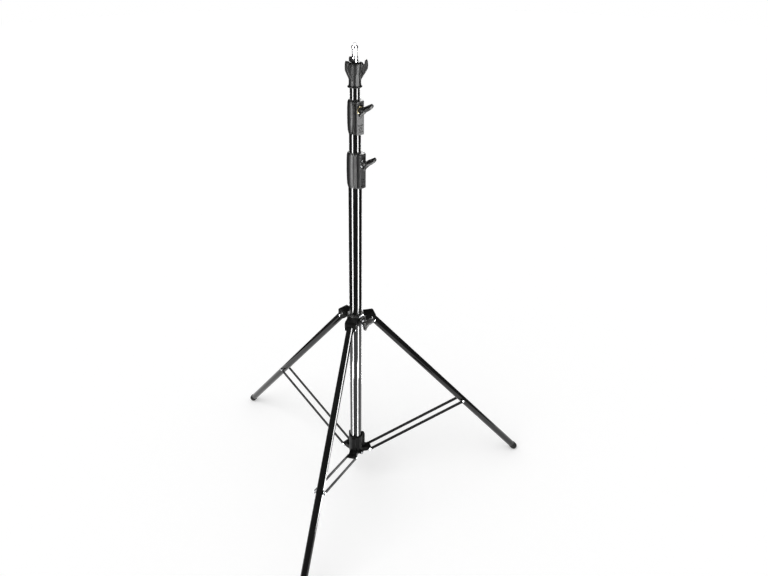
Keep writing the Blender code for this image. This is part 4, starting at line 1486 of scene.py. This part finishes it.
@dataclass(frozen=True)
class Leg:
    """A leg: head casting, tube, rivet and foot. Local Z runs up the leg to its pin."""

    azimuths: Named
    tube_radius: float = LEG_RADIUS
    wall: float = 1.2 * MM
    top: float = 12.0 * MM
    outer: float = 13.8 * MM
    inner: float = 18.0 * MM
    corner: float = 6.0 * MM
    heel: float = 16.8 * MM
    half_width: float = 15.5 * MM
    slot_half: float = 6.8 * MM
    slot_radius: float = 9.5 * MM
    socket_top: float = 10.5 * MM
    rivet_below: float = 13.8 * MM
    foot_radius: float = 11.3 * MM
    foot_cap: float = 14.0 * MM
    foot_flat: float = 0.4 * MM
    rivet_bore: float = 2.4 * MM
    step: float = 0.5 * MM

    def tilt(self) -> float:
        """The spread leg's angle from upright, in degrees."""
        return joint("leg_front_fold")["range_deg"][1]

    def place(self, side: str, azimuth: float) -> Matrix:
        """The leg's frame: on its pin, X outwards, tilted as the joint's full range says."""
        pin = Vector(joint(f"leg_{side}_fold")["pos_m"])
        return Matrix.Translation(pin) @ turn_z(azimuth) @ turn_y(-self.tilt())

    def length(self) -> float:
        """From the pin to the middle of the foot's round end."""
        drop = joint("leg_front_fold")["pos_m"][2] - (self.foot_radius - self.foot_flat)
        return drop / math.cos(math.radians(self.tilt()))

    def side_outline(self) -> Outline:
        """The head's side about the pin: level on top, upright at its end, round at its heel.

        Returns:
            The outline: distance outwards and height.
        """
        near = self.outer - self.corner
        outline = [(-self.inner, self.top)]
        outline += arc((near, self.top - self.corner), self.corner, start=90.0, end=0.0)
        outline += arc((near, self.corner - self.inner), self.corner, start=0.0, end=-90.0)
        outline += [(-2.0 * MM, -self.inner)]
        outline += arc((0.0, 0.0), self.heel, start=242.0, end=186.0)
        return outline + [(-self.inner, 1.5 * MM)]

    def pocket_outline(self) -> Outline:
        """What the hub's lug sweeps, from the spread leg to the folded one.

        Returns:
            The outline: distance outwards and height.
        """
        far, root, tilt = 3.0 * self.inner, self.slot_radius, math.radians(self.tilt())
        end = (root * math.sin(tilt) - far * math.cos(tilt),
               -root * math.cos(tilt) - far * math.sin(tilt))
        swept = arc((0.0, 0.0), root, start=90.0, end=self.tilt() - 90.0, steps=16)
        return [(-far, root)] + swept + [end]

    def ribs(self, p: np.ndarray) -> np.ndarray:
        """Distance to five nested grooves that follow the head's top and end on both cheeks.

        Args:
            p: points about the pin, with X outwards and Z up.

        Returns:
            The distances.
        """
        first, pitch, groove, last = 2.4 * MM, 2.5 * MM, 0.65 * MM, 4.0
        inward = -rim_distance(p[..., 0] - self.outer, p[..., 2] - self.top, self.corner)
        nearest = np.clip(np.round((inward - first) / pitch), 0.0, last) * pitch + first
        return np.hypot(inward - nearest, np.abs(p[..., 1]) - self.half_width) - groove

    def head(self) -> Surface:
        """A boxy hood with ribbed cheeks, less the lug's pocket, the tube's socket and the pins.

        Returns:
            The head.
        """
        wide = 2.0 * self.half_width
        half = (-self.half_width, self.half_width)
        hood = plate(self.side_outline(), *half, edge=1.3 * MM, plane=Plane.XZ)
        pocket = plate(self.pocket_outline(), -self.slot_half, self.slot_half, edge=0.0, plane=Plane.XZ)
        hood = hood.without(Solid(self.ribs), blend=0.4 * MM).without(pocket, blend=0.6 * MM)
        cuts = joined_all([
            bar(self.tube_radius + GAP, -wide, -self.socket_top),
            bar(LEG_PIN_BORE, -wide, wide).placed(lying()),
            bar(self.rivet_bore, -wide, wide).placed(lying(z=-self.rivet_below)),
        ])
        solid = hood.placed(turn_y(self.tilt())).without(cuts, blend=0.6 * MM)
        reach = math.hypot(self.inner, self.top) + 1.0 * MM
        return net(solid, even_grid(self.step, (-reach, reach), half, (-reach, reach)))

    def foot(self) -> Surface:
        """The end cap: a ribbed collar and a round nose, turned about the leg.

        Returns:
            The foot.
        """
        long = self.length()
        top = -long + self.foot_cap
        plug = self.tube_radius - self.wall - GAP
        r = self.foot_radius
        outline = [(0.0, -long - r)]
        outline += [(r * math.sin(a), -long - r * math.cos(a))
                    for a in np.linspace(0.12, math.pi / 2.0, 14)]
        groove = 0.5 * MM
        for k in range(3):
            start = -long + (3.0 + 3.2 * k) * MM
            outline += [(r, start), (r - groove, start + 0.6 * MM), (r - groove, start + 1.2 * MM),
                        (r, start + 1.8 * MM)]
        end = top + 20.0 * MM
        outline += [(r, top - 0.8 * MM), (r - 0.6 * MM, top), (plug, top), (plug, top + 19.0 * MM),
                    (plug - 1.0 * MM, end), (0.0, end)]
        return turned(outline, around=64)

    def build(self) -> None:
        """Make the head, rivet, tube and foot once and dress them at each leg."""
        end = self.length() - self.foot_cap - GAP
        head, foot_surface = self.head(), self.foot()
        tube = Tube(self.tube_radius, self.wall, end - self.socket_top - GAP).surface()
        rivet = Rivet(shank=2.1 * MM, head=3.6 * MM, reach=self.half_width + GAP,
                      dome=1.4 * MM).surface()
        for side, azimuth in self.azimuths:
            place = self.place(side, azimuth)
            dress(f"leg_head_{side}", head, place, CASTING_PAINT)
            dress(f"leg_rivet_{side}", rivet, place @ lying(z=-self.rivet_below), ZINC)
            dress(f"leg_tube_{side}", tube, place @ shift(z=-end), TUBE_COAT)
            foot = dress(f"foot_{side}", foot_surface, place, RUBBER)
            # Where the round nose would pass the floor, it is flat.
            places = np.empty(3 * len(foot.data.vertices), np.float32)
            foot.data.vertices.foreach_get("co", places)
            places[2::3] = np.maximum(places[2::3], 0.0)
            foot.data.vertices.foreach_set("co", places)


@dataclass(frozen=True)
class Brace:
    """A pair of straps between the bracket and a leg. Local Z runs out along the straps."""

    azimuths: Named
    length: float = 336.0265 * MM
    offset: float = 14.25 * MM
    half_thickness: float = 1.25 * MM
    half_width: float = 5.0 * MM
    eye: float = 6.0 * MM
    hole: float = BRACE_PIN_BORE
    tube_radius: float = LEG_RADIUS

    def place(self, side: str, azimuth: float) -> Matrix:
        """The brace's frame: on its pin, X outwards, tilted as the joint's full range says."""
        fold = joint(f"brace_{side}_fold")
        return Matrix.Translation(Vector(fold["pos_m"])) @ turn_z(azimuth) @ turn_y(fold["range_deg"][1])

    def strap(self) -> Surface:
        """A flat bar with a round eye at each end, drawn on lines that close up at the eyes.

        Returns:
            The strap.
        """
        t, w, e = self.half_thickness, self.half_width, self.eye
        edge = 0.45 * MM
        shank = plate([(-w, 0.0), (w, 0.0), (w, self.length), (-w, self.length)], -t, t, edge, Plane.XZ)
        disc = bar(e, -t, t, edge)
        hole = bar(self.hole, -2.0 * t, 2.0 * t)
        ends = [lying(), lying(z=self.length)]
        solid = joined_all([shank] + [disc.placed(end) for end in ends], blend=1.0 * MM)
        solid = solid.without(joined_all([hole.placed(end) for end in ends]), blend=0.3 * MM)
        fine, coarse = 0.5 * MM, 4.0 * MM
        near = even(-e, e + 2.0 * MM, fine)
        far = self.length - near[::-1]
        middle = np.linspace(near[-1], far[0], int((far[0] - near[-1]) / coarse) + 1)[1:-1]
        lines = (even(-e, e, fine), even(-t, t, 0.36 * MM), np.concatenate((near, middle, far)))
        return net(solid, lines)

    def rivet(self) -> Surface:
        """A shouldered rivet: spacer against the leg, shank through the strap, domed outer head.

        Returns:
            The rivet.
        """
        outer = self.half_thickness + GAP
        spacer = self.offset - self.tube_radius - GAP
        head, dome, shank, shoulder = 4.2 * MM, 1.4 * MM, 2.5 * MM, 4.0 * MM
        cap = [(head * math.sin(a), outer + dome * math.cos(a))
               for a in np.linspace(math.pi / 2.0, 0.0, 9)]
        cap[-1] = (0.0, cap[-1][1])
        outline = [(0.0, -spacer), (shoulder, -spacer), (shoulder, -outer), (shank, -outer),
                   (shank, outer), (head, outer)] + cap
        return turned(outline, around=40)

    def build(self) -> None:
        """Make a strap and a rivet once and dress both straps and rivets of each leg."""
        strap, rivet = self.strap(), self.rivet()
        for side, azimuth in self.azimuths:
            place = self.place(side, azimuth)
            for end, sign in (("a", -1.0), ("b", 1.0)):
                offset = place @ shift(y=sign * self.offset)
                dress(f"brace_strap_{side}_{end}", strap, offset, STRAP_PAINT)
                facing = offset @ shift(z=self.length) @ turn_x(-90.0 * sign)
                dress(f"brace_rivet_{side}_{end}", rivet, facing, ZINC)


# Top

@dataclass(frozen=True)
class TopCap:
    """The cap casting with three hooks and three shallow panels, and the spigot in it."""

    hook_azimuth: float = 5.5
    panel_azimuth: float = -47.5
    neck: float = 15.2 * MM
    rim: float = 18.6 * MM
    flange: float = 18.2 * MM
    bottom: float = 1261.0 * MM
    top: float = 1320.0 * MM
    hook_half: float = 4.6 * MM
    hook_reach: float = 32.0 * MM
    hook_top: float = 1326.5 * MM
    notch: Tuple[float, float, float] = (18.3 * MM, 24.3 * MM, 1316.0 * MM)
    tube_radius: float = TOP_RADIUS
    pin: float = 8.0 * MM
    step: float = 0.6 * MM

    def hook_outline(self) -> Outline:
        """The hook from the side: radius and height.

        Returns:
            The outline.
        """
        inner, outer, floor = self.notch
        middle, half = (inner + outer) / 2.0, (outer - inner) / 2.0
        b, reach, tip = self.bottom, self.hook_reach, self.hook_top
        root = 10.0 * MM
        hook = [(root, b + 15.0 * MM), (15.0 * MM, b + 17.0 * MM), (reach - 5.0 * MM, b + 36.0 * MM),
                (reach - 1.0 * MM, b + 43.0 * MM), (reach, b + 51.0 * MM),
                (reach - 1.0 * MM, tip - 4.0 * MM), (reach - 3.4 * MM, tip),
                (outer + 1.2 * MM, tip - 0.6 * MM)]
        hook += arc((middle, floor + half), half, start=0.0, end=-180.0)
        return hook + [(inner, self.top - 1.0 * MM), (root, self.top - 1.0 * MM)]

    def casting(self) -> Surface:
        """Body, hooks and panels, less the bores.

        Returns:
            The casting.
        """
        b, t = self.bottom, self.top
        body = lathe_solid(rounded([
            (0.0, b), (self.flange, b), (self.flange, b + 2.4 * MM),
            (self.neck + 0.4 * MM, b + 5.0 * MM),
            (self.neck, b + 10.0 * MM), (self.neck + 0.2 * MM, b + 28.0 * MM),
            (self.neck + 1.4 * MM, b + 37.0 * MM), (self.rim - 0.6 * MM, b + 47.0 * MM),
            (self.rim, t - 6.0 * MM), (self.rim - 0.8 * MM, t - 2.2 * MM), (self.rim - 3.2 * MM, t),
            (0.0, t)], radius=1.0 * MM))
        outline = self.hook_outline()
        half = self.hook_half
        hook = plate(rounded(outline, radius=1.2 * MM), -half, half, edge=1.2 * MM, plane=Plane.XZ)
        # A slab of the hook's outline, far thicker than the hook, gives the distance to its rim.
        thick = 1.0
        flat = plate(outline, -thick, thick, edge=0.0, plane=Plane.XZ)
        rim, depth, start = 2.4 * MM, 1.3 * MM, self.rim + 0.5 * MM
        pocket = Solid(lambda p: np.maximum(np.maximum(flat.distance(p) + rim,
                                                       half - depth - np.abs(p[..., 1])),
                                            start - p[..., 0]))
        hook = hook.without(pocket, blend=0.6 * MM)
        panel_half = 4.2 * MM
        panel = [(-panel_half, b + 4.0 * MM), (panel_half, b + 4.0 * MM)]
        panel += arc((0.0, b + 27.5 * MM), panel_half, start=0.0, end=180.0, steps=12)
        dent = plate(panel, -1.0 * MM, 4.0 * MM, edge=0.3 * MM, plane=Plane.XZ)
        solid = body.joined(hook.thrice(self.hook_azimuth), blend=1.8 * MM)
        cuts = [dent.placed(shift(x=self.neck) @ turn_z(-90.0)).thrice(self.panel_azimuth)]
        past = 6.0 * MM
        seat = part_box("top_tube")[1].z + GAP
        cuts.append(bar(self.tube_radius + GAP, b - past, seat))
        cuts.append(bar(self.pin + GAP, b, t + past))
        span = (-self.hook_reach, self.hook_reach)
        return net(solid.without(joined_all(cuts), blend=0.6 * MM),
                   even_grid(self.step, span, span, (b, self.hook_top)))

    def spigot(self) -> Surface:
        """The turned pin with its waist, shoulder and small tip.

        Returns:
            The spigot.
        """
        base, tip = self.top - 28.0 * MM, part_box("spigot")[1].z
        shoulder = tip - 6.5 * MM
        waist, end = 6.3 * MM, 3.1 * MM
        outline = [
            (0.0, base), (self.pin, base),
            (self.pin, self.top + 11.2 * MM), (waist, self.top + 12.8 * MM),
            (waist, shoulder - 6.2 * MM), (self.pin, shoulder - 4.8 * MM), (self.pin, shoulder),
            (end, shoulder), (end, tip), (0.0, tip),
        ]
        return turned(rounded(outline, radius=0.7 * MM))

    def build(self) -> None:
        """Make and dress the cap and the spigot."""
        dress("top_cap", self.casting(), on_column(), CASTING_PAINT)
        dress("spigot", self.spigot(), on_column(), CHROME)


# Studio

DARK_PIECES = ("leg_head", "foot", "brace_strap", "bottom_bracket")


@dataclass(frozen=True)
class Reflector:
    """A bright strip or wedge that gloss shows, and how the names of the pieces it misses begin."""

    azimuth: float
    level: float
    flagged: Tuple[str, ...]


@dataclass(frozen=True)
class Studio:
    """Floor, backdrop, lamps, world and camera."""

    camera_azimuth: float = 16.49
    camera_distance: float = 1.85472
    camera_height: float = 1.74248
    pitch: float = 31.859
    roll: float = -0.187
    focal_pixels: float = 757.07
    centre_pixel: Tuple[float, float] = (355.565, 322.658)
    picture: Tuple[int, int] = (768, 576)
    sensor: float = 36.0
    ambient: float = 0.60
    sun: float = 1.20
    sun_angle: float = 50.0
    sun_turn: float = -25.0
    sun_tilt: float = 35.0
    floor_grey: float = 0.86
    floor_lift: float = 0.22
    floor_radius: float = 9.0
    floor_roughness: float = 0.9
    clip: Tuple[float, float] = (0.05, 60.0)
    tent_radius: float = 1.10
    tent_height: float = 1.75
    tent_top: float = 3.0
    tent_grey: float = 0.03
    strips: Tuple[Reflector, ...] = (
        Reflector(-120.5, 32.0, DARK_PIECES + ("leg_tube",)),
        Reflector(-18.5, 32.0, DARK_PIECES + ("leg_tube_left", "leg_tube_right")),
        Reflector(106.5, 12.0, DARK_PIECES + ("leg_tube", "spigot")))
    strip_distance: float = 0.50
    strip_width: float = 0.16
    strip_height: float = 1.45
    wedges: Tuple[Reflector, ...] = (
        Reflector(-135.0, 30.0, DARK_PIECES + ("leg_tube",)),
        Reflector(-32.0, 30.0, DARK_PIECES + ("leg_tube_left", "leg_tube_right")))
    wedge_width: float = 18.0
    wedge_reach: Tuple[float, float] = (0.03, 0.62)

    def stage_object(self, name: str, surface: Surface,
                     material: bpy.types.Material) -> bpy.types.Object:
        """Add a mesh that isn't part of the stand.

        Args:
            name: its name.
            surface: its mesh.
            material: its material.

        Returns:
            The object.
        """
        mesh = bpy.data.meshes.new(name)
        mesh.from_pydata(surface.points.tolist(), [], surface.quads.tolist())
        mesh.materials.append(material)
        mesh.shade_smooth()
        made = bpy.data.objects.new(name, mesh)
        bpy.context.scene.collection.objects.link(made)
        made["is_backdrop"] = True
        return made

    def floor_material(self) -> bpy.types.Material:
        """Pale floor that lifts to white where nothing shades it.

        Returns:
            The material.
        """
        made, graph = new_material("pale_floor")
        shader = graph.node("ShaderNodeBsdfPrincipled", {}, {
            "Base Color": grey(self.floor_grey), "Roughness": self.floor_roughness,
            "Specular IOR Level": 0.0,
            "Emission Color": graph.mix(graph.seen(), grey(0.0), grey(self.floor_lift)),
            "Emission Strength": 1.0})
        graph.shown(shader)
        return made

    def floor(self) -> None:
        """A disc: a straight outline from its rim to its middle, turned."""
        outline = [(float(r), 0.0) for r in np.linspace(self.floor_radius, 0.0, 12)]
        disc = turned(outline, around=64, sheet=True)
        weld(self.stage_object("floor", disc, self.floor_material()).data)

    def glow(self, name: str, surface: Surface, level: float) -> bpy.types.Object:
        """Add an even screen that only reflections see.

        Args:
            name: its name.
            surface: its mesh.
            level: its brightness, where 1 is white.

        Returns:
            The screen.
        """
        made, graph = new_material(name)
        graph.shown(graph.node("ShaderNodeEmission", {}, {"Color": grey(1.0), "Strength": level}))
        screen = self.stage_object(name, surface, made)
        screen.visible_camera = False
        screen.visible_diffuse = False
        screen.visible_shadow = False
        screen.visible_transmission = False
        return screen

    def flag(self, light: bpy.types.Object, pieces: Tuple[str, ...]) -> None:
        """Keep a light off some pieces, as a black card beside the lamp does.

        Args:
            light: the lamp or screen.
            pieces: how the names of the pieces that it doesn't reach begin.
        """
        shaded = tuple(f"dressed_{piece}" for piece in pieces)
        reached = bpy.data.collections.new(f"reached_by_{light.name}")
        for piece in bpy.context.scene.objects:
            if piece.type == "MESH" and not piece.name.startswith(shaded):
                reached.objects.link(piece)
        light.light_linking.receiver_collection = reached

    def tent(self) -> None:
        """A dark round tent, as black flags round a gloss object: a wall and a cone over it."""
        clear, apex = 4.0 * MM, 1.0 * MM
        wall = turned([(self.tent_radius, clear), (self.tent_radius, self.tent_height),
                       (apex, self.tent_top)], sheet=True)
        wall = Surface(wall.points + np.array(column_axis()), wall.quads)
        self.glow("dark_tent", wall, self.tent_grey)

    def floor_wedges(self) -> None:
        """Bright wedges on the floor that carry the strips' reflections down to the foot."""
        foot = np.array(column_axis())
        half, clear = self.wedge_width / 2.0, 2.0 * MM
        radius = np.array(self.wedge_reach)[:, None]
        for index, given in enumerate(self.wedges):
            angles = np.radians(np.linspace(given.azimuth - half, given.azimuth + half, 9))
            points = np.stack((radius * np.cos(angles), radius * np.sin(angles),
                               clear + 0.0 * radius * angles), axis=-1)
            number = np.arange(2 * len(angles)).reshape(2, -1)
            quads = np.stack((number[0, :-1], number[1, :-1], number[1, 1:], number[0, 1:]), axis=-1)
            surface = Surface(points.reshape(-1, 3) + foot, quads)
            self.flag(self.glow(f"floor_wedge_{index}", surface, given.level), given.flagged)

    def world(self) -> None:
        """White behind the stand and in its reflections, soft grey light everywhere else."""
        world = bpy.data.worlds.new("studio_world")
        bpy.context.scene.world = world
        world.use_nodes = True
        graph = Graph(world.node_tree)
        strength = self.ambient + graph.seen() * (1.0 - self.ambient)
        light = graph.node("ShaderNodeBackground", {}, {"Color": grey(1.0), "Strength": strength})
        graph.shown(light, "ShaderNodeOutputWorld")

    def lamp(self, name: str, size: Tuple[float, float], radiance: float,
             place: Matrix) -> bpy.types.Object:
        """Add a rectangular lamp that shines along its local -Z.

        Args:
            name: its name.
            size: width and height.
            radiance: brightness of its face, where 1 is white.
            place: its matrix.

        Returns:
            The lamp.
        """
        data = bpy.data.lights.new(name, "AREA")
        data.shape = "RECTANGLE"
        data.size, data.size_y = size
        data.energy = radiance * math.pi * size[0] * size[1]
        made = bpy.data.objects.new(name, data)
        made.matrix_world = place
        made.visible_camera = False
        bpy.context.scene.collection.objects.link(made)
        return made

    def lamps(self) -> None:
        """A broad soft sun, and upright reflector strips that only gloss picks up."""
        data = bpy.data.lights.new("soft_sun", "SUN")
        data.energy = self.sun
        data.angle = math.radians(self.sun_angle)
        sun = bpy.data.objects.new("soft_sun", data)
        sun.matrix_world = turn_z(self.sun_turn) @ turn_x(self.sun_tilt)
        sun.visible_glossy = False
        bpy.context.scene.collection.objects.link(sun)
        size = (self.strip_width, self.strip_height)
        middle = outward(self.strip_distance, self.strip_height / 2.0)
        for index, given in enumerate(self.strips):
            facing = on_column(given.azimuth) @ middle @ turn_z(90.0)
            strip = self.lamp(f"reflector_strip_{index}", size, given.level, facing)
            strip.visible_diffuse = False
            strip.visible_transmission = False
            self.flag(strip, given.flagged)

    def camera(self) -> None:
        """The camera at the photograph's place, from its distance, height, pitch and centre."""
        data = bpy.data.cameras.new("camera")
        wide = self.picture[0]
        data.sensor_width = self.sensor
        data.lens = self.focal_pixels * self.sensor / wide
        data.shift_x = (wide / 2.0 - self.centre_pixel[0]) / wide
        data.shift_y = (self.centre_pixel[1] - self.picture[1] / 2.0) / wide
        data.clip_start, data.clip_end = self.clip
        made = bpy.data.objects.new("camera", data)
        made.matrix_world = (on_column(self.camera_azimuth)
                             @ shift(y=-self.camera_distance, z=self.camera_height)
                             @ turn_x(90.0 - self.pitch) @ turn_z(self.roll))
        bpy.context.scene.collection.objects.link(made)
        bpy.context.scene.camera = made

    def build(self) -> None:
        """Set the camera, the stage and the light."""
        self.camera()
        self.floor()
        self.tent()
        self.floor_wedges()
        self.world()
        self.lamps()
        bpy.context.scene.view_settings.view_transform = "Standard"


LEG_SIDES = (("front", -90.0), ("right", 30.0), ("left", 150.0))
KNOB_AZIMUTH = -30.0
HUB_KNOB_HEIGHT = 603.5 * MM
MIDDLE_AZIMUTH = -42.0
BASE_KNOB_HEIGHT = 1075.0 * MM
MIDDLE_KNOB_HEIGHT = 1210.5 * MM
KEPT_NODES = (
    ("bottom_plug", RUBBER), ("base_collar_bush", NYLON), ("middle_collar_bush", NYLON),
    ("middle_guide", NYLON), ("top_guide", NYLON), ("hub_sleeve", NYLON),
    ("base_collar_shoe", BRASS), ("middle_collar_shoe", BRASS),
)


def assemblies() -> Iterable[object]:
    """Every sub-assembly, in the order in which it is built.

    Returns:
        The sub-assemblies.
    """
    yield ColumnTubes()
    yield Collar("base_collar", KNOB_AZIMUTH, shell=21.8 * MM, lower=BASE_RADIUS, upper=MIDDLE_RADIUS,
                 tube_end=1056.0 * MM, reach=29.0 * MM, half_width=15.5 * MM, face_half=10.9 * MM,
                 knob_height=BASE_KNOB_HEIGHT)
    yield Collar("middle_collar", MIDDLE_AZIMUTH, shell=19.2 * MM, lower=MIDDLE_RADIUS, upper=TOP_RADIUS,
                 tube_end=1193.0 * MM, reach=26.0 * MM, half_width=14.2 * MM, face_half=10.8 * MM,
                 knob_height=MIDDLE_KNOB_HEIGHT)
    yield LeverKnob("base_knob", BASE_KNOB_HEIGHT, KNOB_AZIMUTH, face=29.0 * MM, tip=20.0 * MM,
                    turn=36.0, washer_finish=CHROME)
    yield LeverKnob("middle_knob", MIDDLE_KNOB_HEIGHT, MIDDLE_AZIMUTH, face=26.0 * MM, tip=17.5 * MM,
                    turn=39.0, washer_finish=BRASS)
    yield LeverKnob("hub_knob", HUB_KNOB_HEIGHT, KNOB_AZIMUTH, face=33.0 * MM, tip=20.3 * MM,
                    turn=48.0, washer_finish=ZINC)
    yield Hub(LEG_SIDES, KNOB_AZIMUTH, HUB_KNOB_HEIGHT)
    yield Bracket(LEG_SIDES, KNOB_AZIMUTH)
    yield TopCap()
    yield Leg(LEG_SIDES)
    yield Brace(LEG_SIDES)


def main() -> None:
    """Build every sub-assembly, dress the nodes that stay, set the stage and note the size."""
    logging.basicConfig(level=logging.INFO, format="%(name)s: %(message)s")
    for assembly in assemblies():
        LOG.info("building %s", type(assembly).__name__)
        assembly.build()
    for node, finish in KEPT_NODES:
        paint_node(node, finish)
    Studio().build()
    boxes = {"cad": CAD_BOX, "visual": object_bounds()}
    {name: [list(corner) for corner in box] for name, box in boxes.items()}
    for name, box in boxes.items():
        LOG.info("%s box: %s", name, [tuple(round(v, 4) for v in corner) for corner in box])


if __name__ == "__main__":
    main()
